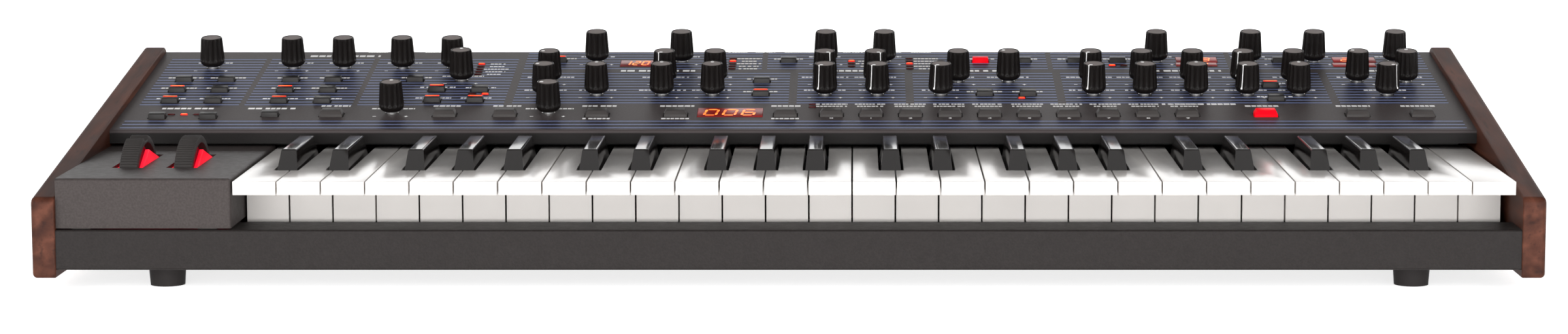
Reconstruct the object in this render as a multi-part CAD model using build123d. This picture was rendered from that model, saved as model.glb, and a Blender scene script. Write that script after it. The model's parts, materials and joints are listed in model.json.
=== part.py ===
from build123d import *
import os
from math import cos, radians, sin, tan

os.makedirs("parts", exist_ok=True)

# A four-octave synthesizer. Sizes are millimetres, angles degrees. X points to the player's right, Y away
# from the player and Z up. The origin is on the table, under the middle of the instrument.

# ---- driving sizes ----
KEY_PITCH = 23.57  # from one white key to the next
OCTAVES = 4
DEPTH = 323.6  # over the cheeks, front to back
CHEEK = 12.7  # thickness of a wooden cheek
CHEEK_UNDERSIDE = 6.4
CHEEK_NOSE = 49.4  # height where the sloping top would meet the front
SLOPE = 9.3  # of the control panel and of the cheeks' tops
WHEEL_BOX_WIDTH = 93.3
LEFT_KEY_GAP = 0.7  # wheel box to the first key
RIGHT_KEY_GAP = 3.1  # last key to the cheek
SHEET = 1.5  # steel sheet of the case
FOOT_HEIGHT = 10.7
FOOT_RADIUS = 10.0
KEY_WELL = 146.0  # from the front to the control panel's lip
PANEL_NOSE = 69.0  # height of the control panel's front edge
LIP = 7.6  # depth of the fold along that edge
KEY_TOP = 57.95  # height of the white keys

# ---- clearances ----
GAP = 0.4  # round a button, a lamp or a bush in the panel
SHAFT_FIT = 0.05  # radial, for what turns on a shaft or a rod
KEY_GAP = 0.9  # between neighbouring white keys
SEAT = 0.1  # radial or each side, for what is dropped in and fixed

# ---- derived case sizes ----
WHITE_KEYS = 7 * OCTAVES + 1
INNER = (WHEEL_BOX_WIDTH + LEFT_KEY_GAP + WHITE_KEYS * KEY_PITCH + RIGHT_KEY_GAP) / 2
FRONT = -DEPTH / 2
REAR = DEPTH / 2
RISE = tan(radians(SLOPE))
FLOOR = FOOT_HEIGHT + SHEET  # upper face of the bottom pan
PANEL_FRONT = FRONT + KEY_WELL
PANEL_REAR = REAR - 3.8
PANEL_LENGTH = (PANEL_REAR - PANEL_FRONT) / cos(radians(SLOPE))
PANEL = Plane(
    origin=(0, PANEL_FRONT, PANEL_NOSE),
    x_dir=(1, 0, 0),
    z_dir=(0, -sin(radians(SLOPE)), cos(radians(SLOPE))),
)
KEYS_LEFT = -INNER + WHEEL_BOX_WIDTH + LEFT_KEY_GAP


def panel_height(y):
    """Height of the control panel's outer face."""
    return PANEL_NOSE + (y - PANEL_FRONT) * RISE


def on_panel(u, v, h=0.0):
    """A place u across and v up the control panel, h above its face."""
    return PANEL.location * Pos(u, v, h)


def block(x0, x1, y0, y1, z0, z1):
    return Pos((x0 + x1) / 2, (y0 + y1) / 2, (z0 + z1) / 2) * Box(x1 - x0, y1 - y0, z1 - z0)


def side_face(points):
    """A face drawn in the YZ plane."""
    return make_face(Polyline(*points, close=True))


def across(face, x0, x1):
    """A side face drawn out from x0 to x1."""
    return extrude(Plane.YZ.offset(x0) * face, x1 - x0)


def rod(radius, x0, x1, y, z):
    """A round bar along X."""
    return Pos((x0 + x1) / 2, y, z) * Rot(0, 90, 0) * Cylinder(radius, abs(x1 - x0))


def spindle(radius, y0, y1, x, z):
    """A round bar along Y."""
    return Pos(x, (y0 + y1) / 2, z) * Rot(90, 0, 0) * Cylinder(radius, abs(y1 - y0))


def upright(radius, z0, z1, x, y):
    return Pos(x, y, (z0 + z1) / 2) * Cylinder(radius, z1 - z0)


def save(node, *solids):
    """Writes one node, a single piece or a group of separate pieces."""
    pieces = [s for shape in solids for s in shape.solids()]
    export_step(pieces[0] if len(pieces) == 1 else Compound(pieces), f"parts/{node}.step")


# ---- control panel layout: u from the middle, v from the front edge ----
REAR_FOLD = 10.0  # depth of the fold at the panel's rear edge
FOLD_SCREWS = [(x, panel_height(PANEL_REAR) - 6.4) for x in (-360.0, -120.0, 120.0, 360.0)]
PILOT_RADIUS = 1.7
KNOB_PITCH = 30.3
ENVELOPE_COLUMNS = [176.4 + KNOB_PITCH * column for column in range(5)]
REAR_ROW = 154.0
WHEEL_ROW = 139.0
PITCH_ROW = 110.0
MIDDLE_ROW = 107.5
FRONT_ROW = 78.0
GLIDE_ROW = 37.0

# Knobs that each have a hinge of their own, from left to right along the front row.
FRONT_KNOBS = {
    "osc_one_shape_knob": (-148.5, FRONT_ROW),
    "osc_two_shape_knob": (-117.5, FRONT_ROW),
    "osc_two_fine_knob": (-79.0, FRONT_ROW),
    "slop_knob": (-49.0, FRONT_ROW),
    "sub_octave_knob": (17.5, FRONT_ROW),
    "noise_knob": (48.5, FRONT_ROW),
    "high_low_knob": (86.0, FRONT_ROW),
    "loudness_amount_knob": (ENVELOPE_COLUMNS[0], FRONT_ROW),
    "loudness_attack_knob": (ENVELOPE_COLUMNS[1], FRONT_ROW),
    "loudness_decay_knob": (ENVELOPE_COLUMNS[2], FRONT_ROW),
    "loudness_sustain_knob": (ENVELOPE_COLUMNS[3], FRONT_ROW),
    "loudness_release_knob": (ENVELOPE_COLUMNS[4], FRONT_ROW),
    "volume_knob": (350.0, FRONT_ROW),
    "glide_knob": (-233.7, GLIDE_ROW),
}

# The other knobs share one node.
OTHER_KNOBS = (
    [(u, REAR_ROW) for u in (-122.4, -70.6, 17.6, 53.2, 219.4, 276.7, 315.7, 365.2)]
    + [(u, WHEEL_ROW) for u in (-355.0, -306.0, -275.0, -239.5, -209.0)]
    + [(u, MIDDLE_ROW) for u in (-147.7, -78.6, -48.4, 17.3, 47.5, 97.0, 127.2, 336.2, 365.4)]
    + [(u, MIDDLE_ROW) for u in ENVELOPE_COLUMNS]
    + [(-200.7, PITCH_ROW), (-142.7, GLIDE_ROW)]
)
KNOBS = list(FRONT_KNOBS.values()) + OTHER_KNOBS

# Buttons: (u, v). The lit ones have a red lens.
BUTTON_COLUMNS = (-367.0, -341.6, -303.0, -277.6)
BUTTON_ROWS = (61.5, 85.0, 108.5)
LIT_BUTTONS = [(u, v) for u in BUTTON_COLUMNS[::2] for v in BUTTON_ROWS[:2]] + [
    (-213.2, 87.0),
    (-213.2, 63.0),
    (-188.0, 63.0),
    (-146.0, 154.0),
    (-20.5, 77.0),
    (112.0, 153.0),
    (283.0, 96.0),
]
SMALL_BUTTONS = (
    [(u, BUTTON_ROWS[2]) for u in BUTTON_COLUMNS]
    + [(u, v) for u in BUTTON_COLUMNS[1::2] for v in BUTTON_ROWS[:2]]
    + [(-368.0, 26.8), (-338.6, 26.8), (-303.5, 31.0), (-228.4, 109.0), (-187.5, 86.0)]
    + [(-20.5, 106.0), (-5.3, 153.0), (112.0, 77.0), (137.5, 77.0), (138.0, 153.0)]
    + [(170.0, 153.0), (195.8, 153.0), (283.0, 66.0), (295.5, 153.0)]
)
WIDE_ROW = 32.0
NUMBER_BUTTONS = [(21.6 + 22.9 * digit, WIDE_ROW) for digit in range(10)]
WIDE_BUTTONS = [
    (u, WIDE_ROW) for u in (-268.0, -202.5, -167.6, -114.1, -68.6, -5.1, 273.2, 326.3, 364.1)
]
SMALL_CAP = (10.0, 6.0, 2.8)  # width, depth and height above the panel
WIDE_CAP = (13.7, 8.6, 3.6)

# Lamps: (u, v).
LAMP_PITCH = 6.0
LAMPS = (
    [(u, 33.0) for u in (-361.0, -353.6, -346.2)]
    + [(-192.4, 123.0 + LAMP_PITCH * i) for i in range(5)]
    + [(-191.3, 78.0), (-183.6, 78.0)]
    + [(-39.4, 136.0 + LAMP_PITCH * i) for i in range(5)]
    + [(33.2, 142.0 + LAMP_PITCH * i) for i in range(3)]
    + [(68.6, 136.0 + LAMP_PITCH * i) for i in range(5)]
    + [(10.4, 49.0), (10.4, 55.0)]
    + [(133.6, 69.0), (192.0, 144.0), (199.1, 144.0)]
)
LAMP_SIZE = (4.4, 2.2)

# Display windows: (u, v, width, depth).
WINDOWS = [
    (-98.0, 148.5, 19.5, 14.0),
    (-37.2, 37.0, 38.0, 19.0),
    (244.5, 157.0, 25.0, 12.0),
    (243.5, 146.0, 25.0, 8.0),
    (341.0, 157.0, 26.0, 12.0),
    (339.6, 145.0, 26.0, 8.0),
]
WINDOW_THICKNESS = 2.0

# ---- panel hardware sizes ----
BOARD_DROP = 11.0  # panel face to the board behind it
BOARD_THICKNESS = 1.6
BUSH_RADIUS = 3.5
SHAFT_RADIUS = 3.0
SHAFT_TOP = 14.0
NUT_RADIUS = 4.6
NUT_HEIGHT = 1.7
KNOB_FOOT = 2.3  # panel face to the knob's skirt
KNOB_TOP = 19.0
KNOB_WIDE = 7.3
KNOB_NARROW = 6.35
FLUTES = 10


def cap_hole(u, v, cap):
    return on_panel(u, v) * Box(cap[0] + 2 * GAP, cap[1] + 2 * GAP, 4 * SHEET)


def control_panel():
    drop = SHEET / cos(radians(SLOPE))
    face = side_face(
        [
            (PANEL_FRONT, PANEL_NOSE - LIP),
            (PANEL_FRONT, PANEL_NOSE),
            (PANEL_REAR, panel_height(PANEL_REAR)),
            (PANEL_REAR, panel_height(PANEL_REAR) - REAR_FOLD),
            (PANEL_REAR - SHEET, panel_height(PANEL_REAR) - REAR_FOLD),
            (PANEL_REAR - SHEET, panel_height(PANEL_REAR - SHEET) - drop),
            (PANEL_FRONT + SHEET, panel_height(PANEL_FRONT + SHEET) - drop),
            (PANEL_FRONT + SHEET, PANEL_NOSE - LIP),
        ]
    )
    nose = face.vertices().sort_by_distance((PANEL_FRONT, PANEL_NOSE))[0]
    face = fillet(nose, 1.2)
    sheet = across(face, -INNER, INNER)
    holes = [on_panel(u, v) * Cylinder(BUSH_RADIUS + GAP, 4 * SHEET) for u, v in KNOBS]
    holes += [cap_hole(u, v, SMALL_CAP) for u, v in LIT_BUTTONS + SMALL_BUTTONS]
    holes += [cap_hole(u, v, WIDE_CAP) for u, v in NUMBER_BUTTONS + WIDE_BUTTONS]
    holes += [on_panel(u, v) * Box(LAMP_SIZE[0] + SEAT, LAMP_SIZE[1] + SEAT, 4 * SHEET) for u, v in LAMPS]
    holes += [on_panel(u, v) * Box(w + 2 * SEAT, d + 2 * SEAT, 4 * SHEET) for u, v, w, d in WINDOWS]
    holes += [spindle(PILOT_RADIUS, PANEL_REAR - SHEET, PANEL_REAR, x, z) for x, z in FOLD_SCREWS]
    return sheet - holes


# ---- cheeks ----
CHEEK_SCREWS = [(FRONT + along, FLOOR + 7.0) for along in (70.0, 180.0, 285.0)]
PILOT_DEPTH = 9.0


def cheek(side):
    """The left cheek is side -1 and the right one side 1."""
    inside, outside = side * INNER, side * (INNER + CHEEK)
    rear_top = CHEEK_NOSE + DEPTH * RISE
    face = side_face(
        [(FRONT, CHEEK_UNDERSIDE), (REAR, CHEEK_UNDERSIDE), (REAR, rear_top), (FRONT, CHEEK_NOSE)]
    )
    for corner, radius in (
        ((FRONT, CHEEK_UNDERSIDE), 2.0),
        ((REAR, CHEEK_UNDERSIDE), 2.0),
        ((REAR, rear_top), 9.0),
        ((FRONT, CHEEK_NOSE), 4.0),
    ):
        face = fillet(face.vertices().sort_by_distance(corner)[0], radius)
    board = across(face, min(inside, outside), max(inside, outside))
    board = fillet(board.faces().sort_by(Axis.X)[-1 if side > 0 else 0].edges(), 2.5)
    board = fillet(board.faces().sort_by(Axis.X)[0 if side > 0 else -1].edges(), 1.0)
    holes = [
        rod(PILOT_RADIUS, inside, inside + side * PILOT_DEPTH, y, z) for y, z in CHEEK_SCREWS
    ]
    return board - holes


# ---- bottom pan ----
PAN_FRONT = FRONT + 1.1
PAN_REAR = REAR - 4.0
BAR_TOP = 32.3  # height of the bar under the keys' fronts
BAR_DEPTH = 29.7
FLANGE_TOP = FLOOR + 14.0
FEET = [
    (x, y) for x in (-(INNER - 55.5), INNER - 55.5) for y in (FRONT + 21.7, REAR - 32.0)
]
FOOT_SCREW_RADIUS = 2.0
VENTS = [(250.0 + 9.0 * slot, REAR - 60.0) for slot in range(9)]


def bottom_pan():
    face = side_face(
        [
            (PAN_FRONT, FOOT_HEIGHT),
            (PAN_FRONT, BAR_TOP),
            (PAN_FRONT + BAR_DEPTH, BAR_TOP),
            (PAN_FRONT + BAR_DEPTH, BAR_TOP - SHEET),
            (PAN_FRONT + SHEET, BAR_TOP - SHEET),
            (PAN_FRONT + SHEET, FLOOR),
            (PAN_REAR, FLOOR),
            (PAN_REAR, FOOT_HEIGHT),
        ]
    )
    for corner in ((PAN_FRONT, FOOT_HEIGHT), (PAN_FRONT, BAR_TOP)):
        face = fillet(face.vertices().sort_by_distance(corner)[0], 1.2)
    pan = across(face, -INNER, INNER)
    flanges = [
        block(x, x + SHEET, FRONT + 40.0, REAR - 20.0, FLOOR, FLANGE_TOP)
        for x in (-INNER, INNER - SHEET)
    ]
    holes = [
        rod(FOOT_SCREW_RADIUS, side * (INNER - 2 * SHEET), side * INNER, y, z)
        for side in (-1, 1)
        for y, z in CHEEK_SCREWS
    ]
    holes += [upright(FOOT_SCREW_RADIUS + SEAT, FOOT_HEIGHT, FLOOR, x, y) for x, y in FEET]
    holes += [block(x - 2.0, x + 2.0, y - 18.0, y + 18.0, FOOT_HEIGHT, FLOOR) for x, y in VENTS]
    return pan + flanges - holes


def rubber_feet():
    foot = Pos(0, 0, FOOT_HEIGHT / 2) * Cone(FOOT_RADIUS - 0.8, FOOT_RADIUS, FOOT_HEIGHT)
    foot -= Cylinder(4.2, 2 * 6.0)
    foot -= upright(FOOT_SCREW_RADIUS + SEAT, 0, FOOT_HEIGHT, 0, 0)
    return [Pos(x, y, 0) * foot for x, y in FEET]


def foot_screws():
    screw = upright(3.8, 3.6, 6.0, 0, 0) + upright(FOOT_SCREW_RADIUS, 6.0, FLOOR + 4.0, 0, 0)
    screw -= Pos(0, 0, 3.6) * Box(4.0, 0.9, 2.0)
    nut = Pos(0, 0, FLOOR) * extrude(RegularPolygon(3.9, 6), 3.0)
    nut -= upright(FOOT_SCREW_RADIUS + SHAFT_FIT, FLOOR, FLOOR + 3.0, 0, 0)
    return [Pos(x, y, 0) * piece for x, y in FEET for piece in (screw, nut)]


# ---- rear panel and its sockets ----
PLATE = PANEL_REAR - SHEET  # outer face of the rear panel
PLATE_TOP = panel_height(PLATE) - 3.5
JACKS = [(x, 50.0) for x in (-259.0, -224.0, -189.0, -150.0, -115.0, -80.0, -45.0)]
JACK_BORE = 3.3
JACK_BUSH = 4.7
JACK_MOUTH = PLATE + 4.0
JACK_DEPTH = 24.0
DIN_SOCKETS = [(x, 50.0) for x in (14.0, 46.0, 78.0)]
DIN_BORE = 6.8
DIN_BARREL = 7.8
DIN_DEPTH = 8.0
USB = (-14.0, 50.0)
USB_SIZE = (12.0, 10.8)
INLET = (335.0, 48.0)
INLET_SIZE = (28.0, 21.0)
INLET_RECESS = (24.0, 16.6)
ROCKER = (290.0, 48.0)
ROCKER_HOUSING = (15.0, 23.0)
ROCKER_WELL = (11.0, 18.4)
ROCKER_TILT = 10.0


def plate_hole(spot, size, slack=SEAT):
    """Cuts a rectangle through the rear panel."""
    half_w, half_h = size[0] / 2 + slack, size[1] / 2 + slack
    return block(
        spot[0] - half_w, spot[0] + half_w, PLATE - 3 * SHEET, PLATE + SHEET, spot[1] - half_h, spot[1] + half_h
    )


def rear_panel():
    plate = block(-INNER, INNER, PLATE - SHEET, PLATE, FLOOR, PLATE_TOP)
    plate += block(-INNER + 2 * SHEET, INNER - 2 * SHEET, PLATE - 13.0, PLATE, FLOOR, FLOOR + SHEET)
    holes = [spindle(JACK_BUSH + SEAT, PLATE - SHEET, PLATE, x, z) for x, z in JACKS]
    holes += [spindle(DIN_BARREL + SEAT, PLATE - SHEET, PLATE, x, z) for x, z in DIN_SOCKETS]
    holes += [spindle(PILOT_RADIUS, PLATE - SHEET, PLATE, x, z) for x, z in FOLD_SCREWS]
    holes += [plate_hole(USB, USB_SIZE), plate_hole(INLET, INLET_SIZE), plate_hole(ROCKER, ROCKER_HOUSING)]
    return plate - holes


def audio_jacks():
    back = PLATE - SHEET
    shell = block(-8.0, 8.0, back - 23.0, back, -7.5, 7.5)
    shell += spindle(JACK_BUSH, back, JACK_MOUTH, 0, 0)
    shell -= spindle(JACK_BORE, JACK_MOUTH - JACK_DEPTH, JACK_MOUTH, 0, 0)
    nut = Pos(0, PLATE + 2.5, 0) * Rot(90, 0, 0) * extrude(RegularPolygon(7.2, 6), 2.5)
    nut -= spindle(JACK_BUSH + SHAFT_FIT, PLATE, PLATE + 2.5, 0, 0)
    return [Pos(x, 0, z) * piece for x, z in JACKS for piece in (shell, nut)]


def data_sockets():
    back = PLATE - SHEET
    din = block(-10.0, 10.0, back - 14.0, back, -10.0, 10.0)
    din += spindle(DIN_BARREL, back, PLATE + 0.6, 0, 0)
    din -= spindle(DIN_BORE, PLATE + 0.6 - DIN_DEPTH, PLATE + 0.6, 0, 0)
    half_w, half_h = USB_SIZE[0] / 2, USB_SIZE[1] / 2
    usb = block(-half_w, half_w, back - 14.0, PLATE + 0.6, -half_h, half_h)
    usb -= block(-4.3, 4.3, PLATE - 9.0, PLATE + 0.6, -4.0, 4.0)
    usb += block(-2.9, 2.9, PLATE - 9.0, PLATE - 1.0, -1.6, 1.6)
    return [Pos(x, 0, z) * din for x, z in DIN_SOCKETS] + [Pos(USB[0], 0, USB[1]) * usb]


def power_inlet():
    half_w, half_h = INLET_SIZE[0] / 2, INLET_SIZE[1] / 2
    inlet = block(-half_w, half_w, PLATE - 24.0, PLATE, -half_h, half_h)
    inlet += block(-half_w - 2.0, half_w + 2.0, PLATE, PLATE + 2.0, -half_h - 2.0, half_h + 2.0)
    half_w, half_h = INLET_RECESS[0] / 2, INLET_RECESS[1] / 2
    inlet -= block(-half_w, half_w, PLATE - 16.0, PLATE + 2.0, -half_h, half_h)
    pins = [
        block(x - 1.0, x + 1.0, PLATE - 16.0, PLATE - 4.5, z - 2.0, z + 2.0)
        for x, z in ((-7.0, -1.0), (0.0, 3.0), (7.0, -1.0))
    ]
    inlet += pins
    half_w, half_h = ROCKER_HOUSING[0] / 2, ROCKER_HOUSING[1] / 2
    housing = block(-half_w, half_w, PLATE - 16.0, PLATE + 1.2, -half_h, half_h)
    half_w, half_h = ROCKER_WELL[0] / 2, ROCKER_WELL[1] / 2
    housing -= block(-half_w, half_w, PLATE - 12.0, PLATE + 1.2, -half_h, half_h)
    housing -= rod(1.0 + SHAFT_FIT, -half_w - 1.2, half_w + 1.2, PLATE - 2.0, 0)
    return [Pos(INLET[0], 0, INLET[1]) * inlet, Pos(ROCKER[0], 0, ROCKER[1]) * housing]


def power_rocker():
    """Stands at its on position, with the lower end pressed in."""
    half = ROCKER_WELL[1] / 2 - 1.1
    face = side_face([(4.2, -half), (2.4, 0), (4.2, half), (-1.0, half), (-1.0, -half)])
    half_w = ROCKER_WELL[0] / 2 - GAP
    rocker = across(face, -half_w, half_w) + rod(1.0, -half_w - 1.2, half_w + 1.2, 0, 0)
    return Pos(ROCKER[0], PLATE - 2.0, ROCKER[1]) * Rot(-ROCKER_TILT, 0, 0) * rocker


# ---- screws that hold the cheeks and join the two panels at the rear ----
def case_screws():
    side_screw = rod(3.4, -2.0, 0, 0, 0) + rod(1.5, 0, PILOT_DEPTH, 0, 0)
    side_screw -= block(-2.0, -1.2, -2.0, 2.0, -0.4, 0.4)
    screws = []
    for side in (-1, 1):
        for y, z in CHEEK_SCREWS:
            turn = Rot(0, 0, 0 if side > 0 else 180)
            screws.append(Pos(side * (INNER - SHEET), y, z) * turn * side_screw)
    for x, z in FOLD_SCREWS:
        screws.append(Pos(x, PANEL_REAR, z) * Rot(0, 0, -90) * side_screw)
    return screws


# ---- wheel box, wheels and their lamps ----
BOX_TOP = KEY_TOP + 1.65
BOX_WALL = 2.0
BOX_UNDERSIDE = BAR_TOP + 0.6
BOX_FRONT = FRONT + 3.1
BOX_REAR = PANEL_FRONT + 9.0
WHEEL_RADIUS = 34.9
WHEEL_WIDTH = 10.0
WHEEL_Y = FRONT + 79.0
WHEEL_Z = BOX_TOP - 20.7
AXLE_RADIUS = 3.0
PITCH_WHEEL_X = -INNER + 29.5
MOD_WHEEL_X = -INNER + 59.2
SLOT_LEFT = 8.6  # wheel's middle to the slot's left edge
SLOT_RIGHT = 8.2
SLOT_LENGTH = 60.6
SECTOR = 59.0  # rim that shows in the slot, each way from the top
SWING = 30.0  # pitch wheel, each way
MOD_SWING = 60.0


def wheel_box():
    right = -INNER + WHEEL_BOX_WIDTH
    box = block(-INNER, right, BOX_FRONT, BOX_REAR, BOX_UNDERSIDE, BOX_TOP)
    box = fillet(box.edges().filter_by(Axis.X).group_by(Axis.Y)[0].group_by(Axis.Z)[-1], 1.5)
    box = fillet(box.edges().filter_by(Axis.Y).group_by(Axis.X)[-1].group_by(Axis.Z)[-1], 1.5)
    box -= block(
        -INNER + BOX_WALL, right - BOX_WALL, BOX_FRONT + BOX_WALL, BOX_REAR + 1.0, 0, BOX_TOP - BOX_WALL
    )
    for x in (PITCH_WHEEL_X, MOD_WHEEL_X):
        half = SLOT_LENGTH / 2
        box -= block(x - SLOT_LEFT, x + SLOT_RIGHT, WHEEL_Y - half, WHEEL_Y + half, BOX_TOP - BOX_WALL, BOX_TOP)
    tabs = [
        block(x, x + 10.0, BOX_FRONT + BOX_WALL, BOX_FRONT + BOX_WALL + 3.0, BAR_TOP, BOX_UNDERSIDE + 6.0)
        for x in (-INNER + 8.0, right - 18.0)
    ]
    return box + tabs


def wheel_wells():
    """A red light guide under each slot, with a tented lobe at the wheel's right."""
    top = BOX_TOP - BOX_WALL
    wells = []
    for x in (PITCH_WHEEL_X, MOD_WHEEL_X):
        well = block(x - SLOT_LEFT - 2.0, x + SLOT_RIGHT + 2.0, WHEEL_Y - 44.0, WHEEL_Y + 46.0, top - 7.5, top)
        reach = WHEEL_RADIUS + 1.5
        half = WHEEL_WIDTH / 2 + 0.6
        well -= block(x - half, x + half, WHEEL_Y - reach, WHEEL_Y + reach, top - 8.0, top + 1.0)
        tent = side_face(
            [(WHEEL_Y - 28.5, top), (WHEEL_Y - 8.0, top + 9.5), (WHEEL_Y + 25.5, top), (WHEEL_Y, top - 4.0)]
        )
        well += across(tent, x + half, x + SLOT_RIGHT - 0.3)
        wells.append(well)
    return wells


def wheel_sector(x, front_reach, rear_reach):
    """Part of a disc that reaches so many degrees from the top towards the front and the rear."""
    disc = rod(WHEEL_RADIUS, x - WHEEL_WIDTH / 2, x + WHEEL_WIDTH / 2, WHEEL_Y, WHEEL_Z)
    far = 2 * WHEEL_RADIUS
    for side, reach in ((-1, front_reach), (1, rear_reach)):
        down = 270 if side < 0 else -90
        angle = 90 - side * reach
        points = [(0, 0)] + [
            (far * cos(radians(a)), far * sin(radians(a))) for a in (angle, (angle + down) / 2, down)
        ]
        wedge = across(side_face(points), -WHEEL_WIDTH, WHEEL_WIDTH)
        disc -= Pos(x, WHEEL_Y, WHEEL_Z) * wedge
    disc += rod(7.0, x - WHEEL_WIDTH / 2, x + WHEEL_WIDTH / 2, WHEEL_Y, WHEEL_Z)
    recess = rod(WHEEL_RADIUS - 4.0, x + 1.0, x + WHEEL_WIDTH / 2, WHEEL_Y, WHEEL_Z)
    recess -= rod(7.0, x, x + WHEEL_WIDTH, WHEEL_Y, WHEEL_Z)
    disc -= recess
    return disc - rod(AXLE_RADIUS + SHAFT_FIT, x - WHEEL_WIDTH, x + WHEEL_WIDTH, WHEEL_Y, WHEEL_Z)


def pitch_wheel():
    wheel = wheel_sector(PITCH_WHEEL_X, SECTOR + SWING, SECTOR + SWING)
    thumb = rod(8.0, PITCH_WHEEL_X - 6, PITCH_WHEEL_X + 6, WHEEL_Y - 1.0, WHEEL_Z + WHEEL_RADIUS + 5.4)
    return wheel - thumb


def mod_wheel():
    return wheel_sector(MOD_WHEEL_X, SECTOR + MOD_SWING, SECTOR)


def wheel_bracket():
    """Holds both wheels on short axles between three uprights."""
    gap = 0.6
    left = PITCH_WHEEL_X - WHEEL_WIDTH / 2 - gap
    right = MOD_WHEEL_X + WHEEL_WIDTH / 2 + gap
    bracket = block(left - 3.0, right + 3.0, WHEEL_Y - 20.0, WHEEL_Y + 20.0, FLOOR, FLOOR + 2.0)
    walls = [
        (left - 3.0, left),
        (PITCH_WHEEL_X + WHEEL_WIDTH / 2 + gap, MOD_WHEEL_X - WHEEL_WIDTH / 2 - gap),
        (right, right + 3.0),
    ]
    bracket += [block(a, b, WHEEL_Y - 8.0, WHEEL_Y + 8.0, FLOOR, WHEEL_Z + 7.0) for a, b in walls]
    return bracket + rod(AXLE_RADIUS, left - 3.0, right + 3.0, WHEEL_Y, WHEEL_Z)


# ---- keys ----
LIP_FRONT = FRONT + 3.1
LIP_THICKNESS = 7.15
BODY_FRONT = FRONT + 47.6
SLOT_FRONT = FRONT + 51.0
SLOT_WIDTH = 13.7  # cut out of the white keys for a black one
KEY_REAR = FRONT + 190.0
KEY_UNDERSIDE = 30.0
HINGE_Y = FRONT + 205.0
HINGE_Z = 45.0
HINGE_ROD = 2.0
BLACK_TOP = KEY_TOP + 10.1
RIB_Y = FRONT + 120.0
NOTES = ["c", "c_sharp", "d", "d_sharp", "e", "f", "f_sharp", "g", "g_sharp", "a", "a_sharp", "b"]
WHITES = [0, 2, 4, 5, 7, 9, 11]


def slots():
    """Middles of the cut-outs for the black keys, as (note, x), over all the octaves."""
    tail_low = (3 * KEY_PITCH - 2 * SLOT_WIDTH) / 3
    tail_high = (4 * KEY_PITCH - 3 * SLOT_WIDTH) / 4
    found = []
    for octave in range(OCTAVES):
        left = KEYS_LEFT + 7 * octave * KEY_PITCH
        for n, note in enumerate((1, 3)):
            found.append((note, left + (n + 1) * tail_low + (n + 0.5) * SLOT_WIDTH))
        left += 3 * KEY_PITCH
        for n, note in enumerate((6, 8, 10)):
            found.append((note, left + (n + 1) * tail_high + (n + 0.5) * SLOT_WIDTH))
    return found


SLOTS = slots()


def hinge_boss(x):
    boss = block(x - 3.5, x + 3.5, KEY_REAR - 4.0, HINGE_Y + 6.0, HINGE_Z - 7.0, HINGE_Z + 7.0)
    return boss - rod(HINGE_ROD + SHAFT_FIT, x - 4.0, x + 4.0, HINGE_Y, HINGE_Z)


def hollow(x0, x1, top):
    """The two pockets under a key, either side of the rib that presses its switch."""
    return [
        block(x0 + 1.8, x1 - 1.8, BODY_FRONT + 14.8, RIB_Y - 2.0, KEY_UNDERSIDE, top),
        block(x0 + 1.8, x1 - 1.8, RIB_Y + 2.0, KEY_REAR - 6.0, KEY_UNDERSIDE, top),
    ]


def white_key(index):
    x0 = KEYS_LEFT + index * KEY_PITCH + KEY_GAP / 2
    x1 = x0 + KEY_PITCH - KEY_GAP
    key = block(x0, x1, LIP_FRONT, KEY_REAR, KEY_TOP - LIP_THICKNESS, KEY_TOP)
    key += block(x0, x1, BODY_FRONT, KEY_REAR, KEY_UNDERSIDE, KEY_TOP - LIP_THICKNESS)
    tail = [x0, x1]
    for note, x in SLOTS:
        low, high = x - SLOT_WIDTH / 2, x + SLOT_WIDTH / 2
        if low < x1 and high > x0:
            key -= block(low, high, SLOT_FRONT, KEY_REAR, KEY_UNDERSIDE, KEY_TOP)
            if x > (x0 + x1) / 2:
                tail[1] = low
            else:
                tail[0] = high
    key -= hollow(tail[0], tail[1], KEY_TOP - 3.5)
    return key + hinge_boss(sum(tail) / 2)


def black_key(x):
    base = Plane.XY.offset(KEY_TOP - 4.0) * Pos(x, FRONT + 95.3) * Rectangle(11.8, 81.4)
    top = Plane.XY.offset(BLACK_TOP) * Pos(x, FRONT + 96.2) * Rectangle(8.2, 63.4)
    key = loft([base, top])
    key = fillet(key.faces().sort_by(Axis.Z)[-1].edges(), 1.2)
    body = block(x - 4.8, x + 4.8, FRONT + 60.0, KEY_REAR, KEY_UNDERSIDE, KEY_TOP - 4.0)
    body -= hollow(x - 4.8, x + 4.8, KEY_TOP - 7.5)
    return key + body + hinge_boss(x)


def keys(note):
    if note in WHITES:
        place = WHITES.index(note)
        return [white_key(i) for i in range(WHITE_KEYS) if i % 7 == place]
    return [black_key(x) for n, x in SLOTS if n == note]


BED_LEFT = KEYS_LEFT + 1.0
BED_RIGHT = INNER - 8.0
DOME_TOP = 25.3
STRIP_SEAT = 17.0


def keybed_frame():
    bed = block(BED_LEFT, BED_RIGHT, FRONT + 50.0, HINGE_Y + 9.0, FLOOR, FLOOR + 2.5)
    bed += block(BED_LEFT, BED_RIGHT, FRONT + 55.0, FRONT + 62.0, FLOOR, STRIP_SEAT + 2.5)
    bed += block(BED_LEFT, BED_RIGHT, RIB_Y - 7.0, RIB_Y + 7.0, FLOOR, STRIP_SEAT)
    webs = [KEYS_LEFT + k * KEY_PITCH for n in range(OCTAVES) for k in (7 * n, 7 * n + 3)]
    webs.append(KEYS_LEFT + 7 * OCTAVES * KEY_PITCH)
    walls = [(x - 1.0, x + 1.0) for x in webs[1:]] + [(BED_LEFT, BED_LEFT + 2.0), (BED_RIGHT - 2.0, BED_RIGHT)]
    bed += [block(a, b, HINGE_Y - 7.0, HINGE_Y + 7.0, FLOOR, HINGE_Z + 6.0) for a, b in walls]
    return bed - rod(HINGE_ROD + 0.02, BED_LEFT, BED_RIGHT, HINGE_Y, HINGE_Z)


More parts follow.
